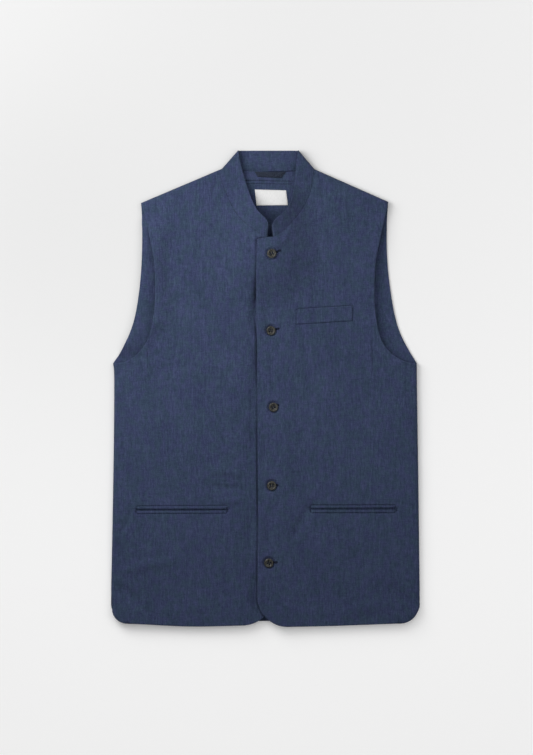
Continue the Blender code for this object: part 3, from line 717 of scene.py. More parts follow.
def back_edges():
    """The edges of the back by name, anticlockwise, starting with the hem."""
    hem_next = Vector((0.0, BACK_HEM_Y))
    sides, armholes, shoulders = {}, {}, {}
    for side, outwards in OUTWARDS.items():
        corner = side_column(SIDE_SEAM, side)[-1].x + BACK_CORNER_OUT * outwards, BACK_HEM_Y + BACK_CORNER_UP
        sides[side] = side_edge(side, corner, hem_next, BACK_CORNER_RADIUS, -BACK_CORNER_OUT, 0.0)
        tip = Vector(SHOULDER_TIP[side])
        armholes[side] = smooth_curve([tip, *side_column(BACK_ARMHOLE, side), sides[side][0][0]])
        shoulders[side] = smooth_curve([Vector(NECK_CORNER[side]), tip])
    hem = smooth_curve([sides["right"][0][-1], hem_next, sides["left"][0][-1]])
    left_side, left_amounts = sides["left"]
    return {
        "hem": (hem, None),
        "side_left": (left_side[::-1], left_amounts[::-1]),
        "armhole_left": (armholes["left"][::-1], None),
        "shoulder_left": (shoulders["left"][::-1], [1.0] * len(shoulders["left"])),
        "neck": (back_neck()[::-1], None),
        "shoulder_right": (shoulders["right"], [1.0] * len(shoulders["right"])),
        "armhole_right": (armholes["right"], None),
        "side_right": sides["right"],
    }


# The height of each panel, with all of its relief but the grooves beside its trims


def overlap_path():
    """The free edge of the upper front, from its hem corner up and round to the collar's seam."""
    lines = front_edges("left")
    return lines["centre"][0] + lines["top"][0][1:]


def overlap_crevice(x, y, path, ring):
    """Beside the upper front's edge the lower front sinks, and it stays down for a little way beneath it."""
    distance, arc = to_polyline(x, y, path)
    uneven = 0.85 + 0.2 * np.sin(arc / 41.0 + 1.0) + 0.12 * np.sin(arc / 17.0)
    beneath = 1 - climb(distance, *CREVICE_BENEATH)
    beside = 0.8 * bell(distance, CREVICE_WIDTH) + 0.2 * np.exp(-distance / CREVICE_REACH)
    return -CREVICE_DEPTH * uneven * np.where(inside(x, y, ring), beneath, beside)


def front_height(side, edges):
    smooth = smooth_right if side == "right" else smooth_left
    path = overlap_path()
    ring = [point for points, _ in front_edges("left").values() for point in points[:-1]]
    lines = {name: points for name, (points, _) in edges.items()}

    def height(x, y):
        total = smooth(x, y) + shoulder_ease(side, x, y) + dart(side, x, y)
        for name, allowance, step in ALLOWANCES:
            distance, _ = to_polyline(x, y, lines[name])
            total += step * (1 - climb(distance, allowance, ALLOWANCE_SLOPE)) + lip(distance)
        total += NECK_LIP * lip(to_polyline(x, y, lines["neck"])[0])
        if side == "right":
            total += overlap_crevice(x, y, path, ring)
        for name, *pucker in PUCKERS:
            total += seam_pucker(x, y, lines[name], *pucker, PUCKER_PHASE[side])
        return np.maximum(total, LOWEST_FRONT)

    return height


def back_height(edges):
    lines = {name: points for name, (points, _) in edges.items()}
    width, slope, lift = BACK_ALLOWANCE
    low, high, lift_slope = BACK_LIFT_ENDS

    def height(x, y):
        total = BACK_LEVEL + fold_rise("back", x, y) + undulation(x, y, WAVE_SEEDS["back"])
        total += FACING_STEP * climb(y, FACING_Y, FACING_SLOPE)
        for name in ("armhole_left", "armhole_right", "hem"):
            distance, _ = to_polyline(x, y, lines[name])
            total += lift * (1 - climb(distance, width, slope))
            total += seam_pucker(x, y, lines[name], *BACK_PUCKER)
            if name == "armhole_right":
                between_seams = climb(y, low, lift_slope) * ease((high - y) / lift_slope)
                total += BACK_LIFT * (1 - ease(distance / BACK_LIFT_WIDTH)) * between_seams
        return np.maximum(total, 0.0)

    return height


def lip(distance):
    """A turned edge is rounded off: it falls away over the last millimetre and a half."""
    return -LIP_DROP * np.clip(1 - distance / LIP_WIDTH, 0.0, 1.0) ** 2


def grooves(lines, x, y):
    """The depth of straight grooves, each given as (from x, from y, to x, to y, depth, half width)."""
    total = np.zeros(x.shape)
    for *ends, depth, half_width in lines:
        total -= depth * bell(to_segment(x, y, *ends)[0], half_width)
    return total


# Meshes


def arrays(points):
    flat = np.array([(point.x, point.y) for point in points])
    return flat[:, 0], flat[:, 1]


def inside(x, y, ring):
    """Which points lie inside a closed outline: those with an odd number of crossings beside them."""
    count = np.zeros(x.shape, int)
    for a, b in zip(ring, ring[1:] + ring[:1]):
        if a.y == b.y:
            continue
        crosses = (a.y > y) != (b.y > y)
        count += crosses & (x < a.x + (b.x - a.x) * (y - a.y) / (b.y - a.y))
    return count % 2 == 1


def lattice(ring, cell, fine_cell, is_fine, seed):
    """Points that fill an outline: a loose triangular lattice, in two sizes."""
    low_x, high_x = min(p.x for p in ring), max(p.x for p in ring)
    low_y, high_y = min(p.y for p in ring), max(p.y for p in ring)
    draw = np.random.default_rng(seed)
    found = []
    for size, fine in ((cell, False), (fine_cell, True)):
        y, x = np.mgrid[low_y:high_y:size * math.sqrt(0.75), low_x - size:high_x:size]
        x = x + 0.5 * size * (np.arange(len(x)) % 2)[:, None]
        x = (x + draw.uniform(-0.12, 0.12, x.shape) * size).ravel()
        y = (y + draw.uniform(-0.12, 0.12, y.shape) * size).ravel()
        keep = inside(x, y, ring)
        x, y = x[keep], y[keep]
        distance, _ = to_polyline(x, y, [*ring, ring[0]])
        keep = (distance > 0.45 * size) & (is_fine(x, y, distance) == fine)
        found.append(np.stack([x[keep], y[keep]], 1))
    return np.concatenate(found)


def row_beside(path, offset, step, shortest=0.0):
    """Points in a row beside a path, on its left where the offset is above 0."""
    row = []
    for a, b in zip(path, path[1:]):
        if (b - a).length < shortest:
            continue
        normal = left_of((b - a).normalized())
        count = max(1, round((b - a).length / step))
        row.extend(a.lerp(b, (k + 0.5) / count) + normal * offset for k in range(count))
    return row


def edge_rows(points, ring):
    """Rows of points just inside a free edge, so that its rounding is in the mesh."""
    made = []
    for offset in EDGE_ROWS:
        x, y = arrays(row_beside(points, offset, ROW_STEP))
        distance, _ = to_polyline(x, y, [*ring, ring[0]])
        keep = inside(x, y, ring) & (np.abs(distance - offset) < 0.12)
        made.append(np.stack([x[keep], y[keep]], 1))
    return np.concatenate(made)


def groove_rows(lines):
    """Rows of points along and beside each groove."""
    made = []
    for x0, y0, x1, y1, _, half_width in lines:
        dx, dy = x1 - x0, y1 - y0
        length = math.hypot(dx, dy)
        t = np.linspace(0, 1, max(3, round(length / ROW_STEP) + 1))
        for k in GROOVE_ROWS:
            off = k * half_width
            made.append(np.stack([x0 + dx * t - dy / length * off, y0 + dy * t + dx / length * off], 1))
    return np.concatenate(made)


def rolled_rows(edge, before, after, roll):
    """Rows of points from a rolled edge inwards, and the free edges beside it, cut back to where it ends."""
    first, rest_before = along(before, roll)
    last, rest_after = along(after, roll)
    inner = [b + left_of((c - a).normalized()) * roll for a, b, c in zip(edge, edge[1:], edge[2:])]
    rows = []
    for row in range(ROLL_ROWS + 1):
        inset, _ = roll_profile(row, ROLL_ROWS)
        rows.append([rim.lerp(flat, inset) for rim, flat in zip(edge, [first, *inner, last])])
    return rows, rest_before, rest_after


def mesh_from(name, points, faces):
    mesh = bpy.data.meshes.new(name)
    mesh.from_pydata((np.asarray(points) * MM).tolist(), [], faces)
    mesh.update()
    mesh.shade_smooth()
    thing = bpy.data.objects.new(name, mesh)
    bpy.context.scene.collection.objects.link(thing)
    return thing


def thicken(thing, wall):
    solidify = thing.modifiers.new("wall", "SOLIDIFY")
    solidify.thickness = wall * MM
    solidify.offset = -1.0
    solidify.use_even_offset = True
    solidify.use_quality_normals = True


def dimple_rows():
    """Rings of points round each button."""
    made = []
    for button_x, button_y in BUTTONS:
        for radius in DIMPLE_RINGS:
            count = round(TAU * radius / RING_STEP)
            turns = np.arange(count) * TAU / count
            made.append(np.stack([button_x + radius * np.cos(turns), button_y + radius * np.sin(turns)], 1))
    return np.concatenate(made)


def rolled_outline(edges, roll):
    """A panel's edges as its flat part has them, and the strips of points of those that are rolled."""
    sides = {i: list(points) for i, (points, amounts) in enumerate(edges) if amounts is None}
    strips = {}
    for i, (points, amounts) in enumerate(edges):
        if amounts is None:
            continue
        before, after = (i - 1) % len(edges), (i + 1) % len(edges)
        rows, cut_before, cut_after = rolled_rows(points, sides[before][::-1], sides[after], roll)
        sides[before] = cut_before[::-1] + [rows[-1][0]]
        sides[after] = [rows[-1][-1]] + cut_after
        strips[i] = rows, amounts
    return [strips[i][0][-1] if i in strips else sides[i] for i in range(len(edges))], strips


def flat_points(ring, free, cells, is_fine, lines, seed, path, dimpled):
    """Points in a panel's flat part: rows along its edges and its relief, and a lattice between them."""
    closed = [*ring, ring[0]]
    rows = [edge_rows(points, ring) for points in free]
    fill = lattice(ring, *cells, is_fine, seed)
    for *ends, _, half_width in lines:
        from_groove, _, _ = to_segment(*fill.T, *ends)
        fill = fill[from_groove > GROOVE_ROWS[-1] * half_width + GROOVE_CLEAR]
    fill = fill[to_polyline(*fill.T, closed)[0] > EDGE_CLEAR]
    if dimpled:
        rows.append(dimple_rows())
        for spot in BUTTONS:
            fill = fill[np.hypot(*(fill - spot).T) > DIMPLE_RINGS[-1] + RING_CLEAR]
    if path:
        beside = [row_beside(path, offset, PATH_STEP, PATH_SHORTEST) for offset in PATH_ROWS]
        x, y = arrays(sum(beside, []))
        closest = np.abs(np.repeat(PATH_ROWS, len(x) // len(PATH_ROWS)))
        keep = inside(x, y, ring) & (to_polyline(x, y, closed)[0] > PATH_STEP)
        keep &= to_polyline(x, y, path)[0] > closest - 0.15
        rows.append(np.stack([x[keep], y[keep]], 1))
        fill = fill[to_polyline(*fill.T, path)[0] > max(np.abs(PATH_ROWS)) + PATH_CLEAR]
    return np.concatenate([*rows, groove_rows(lines), fill])


def make_panel(name, edges, height, rim, roll, facing, cells, is_fine, lines, seed, path=None, dimpled=False):
    """One panel of cloth: a flat part filled with a lattice, and seams rolled over with turned edges."""
    sides, strips = rolled_outline(list(edges.values()), roll)
    ring = [point for side in sides for point in side[:-1]]
    free = [side for i, side in enumerate(sides) if i not in strips]
    within = flat_points(ring, free, cells, is_fine, lines, seed, path, dimpled)
    flat = [*ring, *map(Vector, within)]
    filled = geometry.delaunay_2d_cdt(flat, [], [list(range(len(ring)))], 1, 1e-4)
    x, y = arrays(filled[0])
    points = [np.stack([x, y, height(x, y) + grooves(lines, x, y)], 1)]
    faces = [tuple(face) for face in filled[2]]
    place = {old: new for new, olds in enumerate(filled[3]) for old in olds}

    total, start = len(x), 0
    for i, side in enumerate(sides):
        if i in strips:
            strip, amounts = strips[i]
            ahead = [place[(start + k) % len(ring)] for k in range(len(side))]
            amounts = np.array(amounts)
            for row in range(ROLL_ROWS - 1, -1, -1):
                _, lift = roll_profile(row, ROLL_ROWS)
                x, y = arrays(strip[row])
                resting = height(x, y)
                points.append(np.stack([x, y, resting - (resting - rim) * amounts * (1 - lift)], 1))
                made = list(range(total, total + len(x)))
                total += len(x)
                faces.extend(zip(made, made[1:], ahead[1:], ahead))
                ahead = made
            seamed = [k for k, amount in enumerate(amounts) if amount == 1.0]
            x, y = arrays([strip[0][k] for k in seamed])
            points.append(np.stack([x, y, np.full(len(x), rim - TURN * facing)], 1))
            turned = list(range(total, total + len(x)))
            total += len(x)
            outer = [ahead[k] for k in seamed]
            faces.extend(zip(turned, turned[1:], outer[1:], outer))
        start += len(side) - 1
    if facing < 0:
        faces = [face[::-1] for face in faces]
    thing = mesh_from(name, np.concatenate(points), faces)
    thicken(thing, WALL)
    return thing


def spacing(length, step):
    """Places across a strip of this length: close together near both ends, and even between them."""
    margin = PATCH_ENDS[-1] + 0.5 * step
    count = max(1, round((length - 2 * margin) / step))
    middle = np.linspace(margin, length - PATCH_ENDS[-1] - 0.5 * step, count + 1)
    return np.concatenate([PATCH_ENDS, middle, [length - end for end in PATCH_ENDS[::-1]]])


def grid_faces(rows, columns):
    """The faces of a grid of points that are numbered row by row."""
    starts = [j * columns + i for j in range(rows - 1) for i in range(columns - 1)]
    return [(a, a + 1, a + columns + 1, a + columns) for a in starts]


def make_patch(name, corners, base, gap, wall, step, rounding, relief=None):
    """A closed, softly rounded piece of cloth on a surface.

    Its corners are given as low left, low right, high right and high left.
    """
    corners = [Vector(corner) for corner in corners]
    across, up = (corners[1] - corners[0]).length, (corners[3] - corners[0]).length
    u, v = np.meshgrid(spacing(across, step), spacing(up, step) if up > 8 else np.linspace(0, up, 9))
    s, t = u / across, v / up
    weights = (1 - s) * (1 - t), s * (1 - t), s * t, (1 - s) * t
    x, y = (sum(weight * corner[k] for weight, corner in zip(weights, corners)) for k in (0, 1))
    inwards = np.minimum(np.minimum(v, up - v), np.minimum(u, across - u))
    edge = np.clip(inwards / rounding, 0.0, 1.0)
    crown = 0.2 + 0.8 * np.sqrt(1 - (1 - edge) ** 2)
    seat = base(x, y) + gap
    lift = wall * crown + (relief(u, v, across, up) * edge if relief else 0.0)
    rows, columns = u.shape
    top = np.stack([x, y, seat + lift], 2).reshape(-1, 3)
    under = np.stack([x, y, seat], 2).reshape(-1, 3)
    n = rows * columns
    faces = []
    for a, b, c, d in grid_faces(rows, columns):
        faces += [(a, b, c, d), (n + a, n + d, n + c, n + b)]
    rim = [*range(columns), *range(2 * columns - 1, n, columns)]
    rim += [*range(n - 2, n - columns - 1, -1), *range(n - 2 * columns, 0, -columns)]
    faces.extend((b, n + b, n + a, a) for a, b in zip(rim, rim[1:] + rim[:1]))
    return mesh_from(name, np.concatenate([top, under]), faces)


# Collar


def between_folds(points, roll):
    """A polyline without what the folds at its two ends take up."""
    start, rest = along(points, roll)
    end, middle = along([start, *rest][::-1], roll)
    return [end, *middle][::-1]


def level(height, point):
    """The height at one point."""
    return float(height(np.array([point.x]), np.array([point.y]))[0])


def collar_rise(side, t):
    """How far the collar's top edge stands above its seam, from the fold to the front end."""
    near, crest, far = COLLAR_RISE[side]
    to_crest, to_end = ease(t / COLLAR_CREST), climb(t, COLLAR_CREST, 1 - COLLAR_CREST)
    return near + (crest - near) * to_crest + (far - crest) * to_end


def front_ribs(side, height):
    """The collar's ribs over one front, from its end up to the fold and round the fold's upper half."""
    corner, top_corner = Vector(NECK_CORNER[side]), Vector(COLLAR_FOLD[side])
    edge = smooth_curve([top_corner, *map(Vector, COLLAR_EDGE[side])], COLLAR_SAMPLE)
    seam_start, seam_rest = along(front_neck(side), FRONT_ROLL)
    edge_start, edge_rest = along(edge, COLLAR_FOLD_ROLL)
    seam, edge = [seam_start, *seam_rest], [edge_start, *edge_rest]
    flat = level(height, seam_start)
    near = flat + collar_rise(side, 0.0)
    levels = [level(height, point) for point in seam]
    ribs = [
        ((*point, z), (*at_fraction(edge, t), z + collar_rise(side, t)))
        for point, z, t in zip(seam, levels, fractions(seam))
    ][::-1]
    for row in range(ROLL_ROWS - 1, -1, -1):
        inset, lift = roll_profile(row, ROLL_ROWS)
        rim_height = FRONT_RIM + (flat - FRONT_RIM) * lift
        edge_height = COLLAR_FOLD_RIM[1] + (near - COLLAR_FOLD_RIM[1]) * lift
        seam_spot, edge_spot = corner.lerp(seam_start, inset), top_corner.lerp(edge_start, inset)
        ribs.append(((*seam_spot, rim_height), (*edge_spot, edge_height)))
    return ribs


def fold_ribs(neck, top):
    """The ribs round the lower half of a fold, down to where the back of the collar lies flat."""
    seam_flat, _ = along(neck, BACK_ROLL)
    top_flat = top[0] + (top[1] - top[0]).normalized() * COLLAR_FOLD_ROLL
    ribs = []
    for row in range(ROLL_ROWS + 1):
        inset, lift = roll_profile(row, ROLL_ROWS)
        seam, edge = neck[0].lerp(seam_flat, inset), top[0].lerp(top_flat, inset)
        ribs.append(((*seam, BACK_RIM * (1 - lift)), (*edge, COLLAR_FOLD_RIM[0] * (1 - lift))))
    return ribs


def collar_relief(at, v, height, ends, bow):
    """How far the band stands off its ruled form: bowed, with turned edges, puckers and waves."""
    from_seam, from_edge = v * height, (1 - v) * height
    hem_width, hem_slope, hem_step = COLLAR_HEM
    depth, reach, wavelength = COLLAR_PUCKER
    relief = bow * math.sin(math.pi * v) + (lip(from_edge) + lip(ends)) + 0.5 * lip(from_seam)
    pucker = math.sin(TAU * at / wavelength + 1.0 + 0.6 * math.sin(at / 17.0))
    relief += depth * math.exp(-from_seam / reach) * pucker
    relief += hem_step * (1 - climb(from_edge, hem_width, hem_slope))
    wave_height, wave_length = COLLAR_WAVE
    return relief + wave_height * math.sin(TAU * (at + 9 * v) / wave_length + 0.8) * math.sin(math.pi * v)


def make_collar(heights):
    neck = back_neck()
    top = [Vector(COLLAR_FOLD["right"]), Vector(COLLAR_FOLD["left"])]
    right = front_ribs("right", heights["right"]) + fold_ribs(neck, top)
    left = front_ribs("left", heights["left"]) + fold_ribs(neck[::-1], top[::-1])
    flat_neck, flat_top = between_folds(neck, BACK_ROLL), between_folds(top, COLLAR_FOLD_ROLL)
    middle = [
        ((*seam, 0.0), (*at_fraction(flat_top, t), 0.0))
        for seam, t in zip(flat_neck[1:-1], fractions(flat_neck)[1:-1])
    ]
    ribs = right + middle + left[::-1]
    walked = np.array(fractions([Vector(seam) for seam, _ in ribs]))
    walked *= sum((Vector(b[0]) - Vector(a[0])).length for a, b in zip(ribs, ribs[1:]))
    points = []
    for at, (seam, edge) in zip(walked, ribs):
        seam, edge = Vector(seam), Vector(edge)
        plan = Vector((edge.x - seam.x, edge.y - seam.y, 0.0))
        seam = seam + plan.normalized() * COLLAR_GAP
        ends, above = min(at, walked[-1] - at), edge.z - COLLAR_FOLD_RIM[1]
        bow = COLLAR_BOW * ease(ends / COLLAR_BOW_RUN) * ease(above / COLLAR_BOW_CLIMB)
        bow -= COLLAR_TUCK * (1 - ease(at / COLLAR_TUCK_LENGTH))
        upright = ease(above / COLLAR_UPRIGHT) > 0.5
        to_left, from_right = walked[-len(left)] - at, at - walked[len(right) - 1]
        crown = COLLAR_CROWN * (ease(to_left / COLLAR_CROWN_RUN[0]) * ease(from_right / COLLAR_CROWN_RUN[1]))
        for v in COLLAR_ROWS:
            point = seam.lerp(edge, v)
            relief = collar_relief(at, v, plan.length, ends, bow)
            point.z += relief if upright else COLLAR_FLAT_SHARE * abs(relief)
            point.z += crown * (ease(v / COLLAR_CROWN_SHARE[0]) * ease((1 - v) / COLLAR_CROWN_SHARE[1]))
            points.append(tuple(point))
    collar = mesh_from("collar_cloth", points, grid_faces(len(ribs), len(COLLAR_ROWS)))
    thicken(collar, COLLAR_WALL)
    return collar


# Buttons and sewing


def tube(points, radius, sides=6, closed=False, swell=None):
    """Points and faces of a thread along a path, with its radius times swell(k) at each point."""
    points = [Vector(point) for point in points]
    count = len(points)
    made, faces = [], []
    for k, point in enumerate(points):
        ahead = points[(k + 1) % count] if closed or k + 1 < count else point
        behind = points[k - 1] if closed or k else point
        tangent = (ahead - behind).normalized()
        side = tangent.cross(Vector((0, 0, 1)))
        side = side.normalized() if side.length > 1e-4 else Vector((1, 0, 0))
        up = side.cross(tangent)
        r = radius * (swell(k) if swell else 1.0)
        for j in range(sides):
            angle = TAU * j / sides
            made.append(tuple(point + (side * math.cos(angle) + up * math.sin(angle)) * r))
    last = count if closed else count - 1
    for k in range(last):
        for j in range(sides):
            a, b = k * sides + j, k * sides + (j + 1) % sides
            c, d = ((k + 1) % count) * sides + (j + 1) % sides, ((k + 1) % count) * sides + j
            faces.append((a, d, c, b))
    if not closed:
        faces.append(tuple(range(sides)))
        faces.append(tuple(range((count - 1) * sides, count * sides))[::-1])
    return made, faces


def joined(name, parts):
    """One mesh of several (points, faces)."""
    points, faces = [], []
    for part_points, part_faces in parts:
        faces.extend(tuple(index + len(points) for index in face) for face in part_faces)
        points.extend(part_points)
    return mesh_from(name, points, faces)


def turned(profile, x, y, seat, sides):
    """Points and faces of a solid turned round an upright axis, whose profile starts and ends on it."""
    points = [(x, y, seat + profile[0][1])]
    for radius, z in profile[1:-1]:
        turns = [TAU * k / sides for k in range(sides)]
        points += [(x + radius * math.cos(turn), y + radius * math.sin(turn), seat + z) for turn in turns]
    points.append((x, y, seat + profile[-1][1]))
    last = len(points) - 1
    around = [(k, (k + 1) % sides) for k in range(sides)]
    faces = [(0, 1 + k, 1 + after) for k, after in around]
    for row in range(len(profile) - 3):
        a = 1 + row * sides
        faces += [(a + k, a + sides + k, a + sides + after, a + after) for k, after in around]
    a = 1 + (len(profile) - 3) * sides
    faces += [(a + after, a + k, last) for k, after in around]
    return points, faces


def drill(piece, cutter):
    """Cuts one mesh out of another, for good."""
    cut = piece.modifiers.new("holes", "BOOLEAN")
    cut.object = cutter
    cut.operation = "DIFFERENCE"
    cut.solver = "EXACT"
    graph = bpy.context.evaluated_depsgraph_get()
    drilled = bpy.data.meshes.new_from_object(piece.evaluated_get(graph))
    piece.modifiers.clear()
    piece.data = drilled
    drilled.shade_smooth()
    bpy.data.objects.remove(cutter, do_unlink=True)


def button_strands(x, y, seat, spots):
    """Two bars of three strands, each from one hole to the next and down into both."""
    strands = []
    for a, b in ((spots[0], spots[3]), (spots[1], spots[2])):
        beside = left_of((b - a).normalized())
        for off in (-STRAND_PITCH, 0.0, STRAND_PITCH):
            path = []
            for k in range(STRAND_STEPS + 1):
                t = k / STRAND_STEPS
                spot = a.lerp(b, t) + beside * off
                rise = 1.65 + 0.35 * math.sin(math.pi * t) - 1.6 * max(0.0, abs(2 * t - 1) - 0.72) / 0.28
                path.append((x + spot.x, y + spot.y, seat + rise))
            strands.append(tube(path, STRAND_RADIUS, 6))
    return strands


def make_button(index, x, y, base):
    """A turned button with a rolled rim, a dished middle and four holes, sewn on with two bars of thread."""
    ring = np.linspace(0, TAU, 24, endpoint=False)
    rim = base(x + BUTTON_RADIUS * np.cos(ring), y + BUTTON_RADIUS * np.sin(ring))
    seat = float(rim.max()) + SHANK
    button = mesh_from(f"horn_button_{index}", *turned(BUTTON_PROFILE, x, y, seat, BUTTON_SIDES))
    turns = [BUTTON_TURNS[index - 1] + math.pi * (0.25 + 0.5 * k) for k in range(4)]
    spots = [Vector((math.cos(turn), math.sin(turn))) * HOLE_PITCH * math.sqrt(2) for turn in turns]
    drills = [[(x + spot.x, y + spot.y, seat + z) for z in HOLE_SPAN] for spot in spots]
    holes = [tube(path, HOLE_RADIUS, HOLE_SIDES) for path in drills]
    drill(button, joined(f"cut_{index}", holes))
    return button, joined(f"button_thread_{index}", button_strands(x, y, seat, spots))


def make_buttonhole(index, start, end, base):
    """A worked buttonhole: a ring of close stitches round its slit, with a bar at the end that shows."""
    start, end = Vector(start), Vector(end)
    along_hole = (end - start).normalized()
    beside = left_of(along_hole)
    stitches = round((end - start).length / STITCH_PITCH)
    path = []
    for side, turn_at in ((1, end), (-1, start)):
        for k in range(2 * stitches + 1):
            t = k / (2 * stitches)
            path.append(start.lerp(end, t if side == 1 else 1 - t) + beside * BUTTONHOLE_HALF * side)
        for k in range(1, 6):
            angle = math.pi * k / 6
            outwards = beside * math.cos(angle) + along_hole * math.sin(angle)
            path.append(turn_at + outwards * BUTTONHOLE_HALF * side)
    x, y = arrays(path)
    z = base(x, y) + 0.32
    ring = tube(list(zip(x, y, z)), 0.8, 8, closed=True, swell=lambda k: 1.0 if k % 2 else 0.8)
    return joined(f"buttonhole_{index}", [ring])


def make_bar_tack(name, x, y, half_length, half_width, base):
    """A bar of satin stitches that closes the end of a pocket."""
    parts = []
    count = round(2 * half_length / STITCH_PITCH)
    xs = np.linspace(x - half_width, x + half_width, 7)
    bulge = 0.55 * np.sin(np.linspace(0, math.pi, 7)) ** 0.5
    for k in range(count + 1):
        at = y - half_length + 2 * half_length * k / count
        z = base(xs, np.full(7, at)) + bulge + 0.05
        parts.append(tube([(a, at, b) for a, b in zip(xs, z)], 0.24, 6))
    return joined(name, parts)


def stitch_line(a, b, pitch, base, radius, rise):
    """Straight stitches along a line."""
    parts = []
    count = round((b - a).length / pitch)
    for k in range(count):
        spots = [a.lerp(b, (k + 0.14 + 0.72 * j / 4) / count) for j in range(5)]
        x, y = arrays(spots)
        z = base(x, y) + rise + radius * (np.sin(np.linspace(0, math.pi, 5)) - 0.5)
        parts.append(tube(list(zip(x, y, z)), radius, 5))
    return parts


def stitch_run(corners, inset, pitch, base, radius, rise):
    """Straight stitches round the inside of a four-sided piece."""
    corners = [Vector(corner) for corner in corners]
    centre = sum(corners, Vector((0.0, 0.0))) / 4
    corners = [corner + (centre - corner).normalized() * inset * math.sqrt(2) for corner in corners]
    parts = []
    for a, b in zip(corners, corners[1:] + corners[:1]):
        parts += stitch_line(a, b, pitch, base, radius, rise)
    return parts


# Materials


class Nodes:
    """A short way to write a material's node tree."""

    def __init__(self, name):
        self.material = bpy.data.materials.new(name)
        self.material.use_nodes = True
        self.tree = self.material.node_tree
        self.shader = self.tree.nodes["Principled BSDF"]
        self.place = self.add("ShaderNodeTexCoord").outputs["Object"]

    def add(self, kind, inputs=None, **settings):
        node = self.tree.nodes.new(kind)
        for key, value in settings.items():
            setattr(node, key, value)
        for key, value in (inputs or {}).items():
            self.join(value, node.inputs[key])
        return node

    def join(self, value, socket):
        if isinstance(value, bpy.types.NodeSocket):
            self.tree.links.new(value, socket)
        else:
            socket.default_value = value

    def math(self, operation, a, b=0.0, c=0.0):
        node = self.add("ShaderNodeMath", {0: a, 1: b}, operation=operation)
        if operation == "MULTIPLY_ADD":
            self.join(c, node.inputs[2])
        return node.outputs[0]

    def scaled(self, scale, turn=0.0):
        inputs = {"Vector": self.place, "Scale": scale, "Rotation": (0.0, 0.0, turn)}
        return self.add("ShaderNodeMapping", inputs).outputs[0]

    def noise(self, vector, scale=1.0, detail=2.0, rough=0.5, **more):
        inputs = {"Vector": vector, "Scale": scale, "Detail": detail, "Roughness": rough, **more}
        return self.add("ShaderNodeTexNoise", inputs).outputs[0]

    def ramp(self, value, *stops):
        node = self.add("ShaderNodeValToRGB", {"Fac": value})
        elements = node.color_ramp.elements
        while len(elements) < len(stops):
            elements.new(0.5)
        for element, (at, colour) in zip(elements, stops):
            element.position = at
            element.color = (*colour, 1.0)
        return node.outputs["Color"]

    def mixed(self, colour, tint):
        """One colour times another."""
        node = self.add("ShaderNodeMix", data_type="RGBA", blend_type="MULTIPLY")
        node.inputs[0].default_value = 1.0
        self.join(colour, node.inputs[6])
        self.join(tint, node.inputs[7])
        return node.outputs[2]

    def surface(self, colour=None, height=None, distance=0.001, strength=1.0, **constants):
        if colour is not None:
            self.join(colour, self.shader.inputs["Base Color"])
        for key, value in constants.items():
            self.join(value, self.shader.inputs[key.replace("_", " ")])
        if height is not None:
            bump = self.add("ShaderNodeBump", {"Height": height, "Distance": distance, "Strength": strength})
            self.join(bump.outputs[0], self.shader.inputs["Normal"])
        return self.material


def weave(nodes, pitch, turn=0.0):
    """Height of a plain weave: threads over and under, from two waves half a step apart."""
    place = nodes.scaled((1 / pitch,) * 3, turn)
    split = nodes.add("ShaderNodeSeparateXYZ", {0: place})
    wobble = nodes.noise(nodes.scaled((90.0, 90.0, 90.0)), detail=1.0)
    x = nodes.math("MULTIPLY_ADD", wobble, 1.1, split.outputs["X"])
    y = nodes.math("MULTIPLY_ADD", wobble, 0.9, split.outputs["Y"])
    wave_x = nodes.math("SINE", nodes.math("MULTIPLY", x, math.pi))
    wave_y = nodes.math("SINE", nodes.math("MULTIPLY", y, math.pi))
    return nodes.math("MULTIPLY", wave_x, wave_y)


def linen(name, dark, mid, light, turn=0.0):
    """Navy linen: a plain weave of uneven yarn, with short slubs along both threads and mottled dye."""
    nodes = Nodes(name)
    warp = nodes.noise(nodes.scaled((600.0, 120.0, 60.0), turn), detail=2.0, rough=0.6)
    long_warp = nodes.noise(nodes.scaled((640.0, 30.0, 60.0), turn), detail=1.0)
    weft = nodes.noise(nodes.scaled((110.0, 600.0, 60.0), turn), detail=2.0, rough=0.6)
    fleck = nodes.noise(nodes.scaled((640.0, 560.0, 600.0)), detail=2.0, rough=0.7)
    cloud = nodes.noise(nodes.scaled((16.0, 13.0, 14.0)), detail=3.0, rough=0.6)
    cross = weave(nodes, 0.00072, turn)
    yarn = nodes.math("MULTIPLY_ADD", warp, 0.44, nodes.math("MULTIPLY", weft, 0.26))
    yarn = nodes.math("MULTIPLY_ADD", long_warp, 0.2, yarn)
    tone = nodes.math("MULTIPLY_ADD", fleck, 0.42, yarn)
    tone = nodes.math("MULTIPLY_ADD", cloud, 0.12, tone)
    tone = nodes.math("MULTIPLY_ADD", cross, 0.045, tone)
    middle = 0.5 * (0.44 + 0.26 + 0.2 + 0.42 + 0.12)
    colour = nodes.ramp(tone, (middle - 0.19, dark), (middle, mid), (middle + 0.19, light))
    # The dye is a little greener in some spots and more violet in others
    tint = nodes.noise(nodes.scaled((85.0, 70.0, 60.0)), detail=2.0, rough=0.6)
    tint = nodes.ramp(tint, (0.38, (0.93, 1.03, 0.92)), (0.62, (1.07, 0.97, 1.08)))
    colour = nodes.mixed(colour, tint)
    height = nodes.math("MULTIPLY_ADD", yarn, 1.6, nodes.math("MULTIPLY", cross, 0.4))
    sheen = {"Sheen_Weight": 0.05, "Sheen_Roughness": 0.6}
    return nodes.surface(colour, height, 0.00028, 0.55, Roughness=0.92, Specular_IOR_Level=0.10, **sheen)


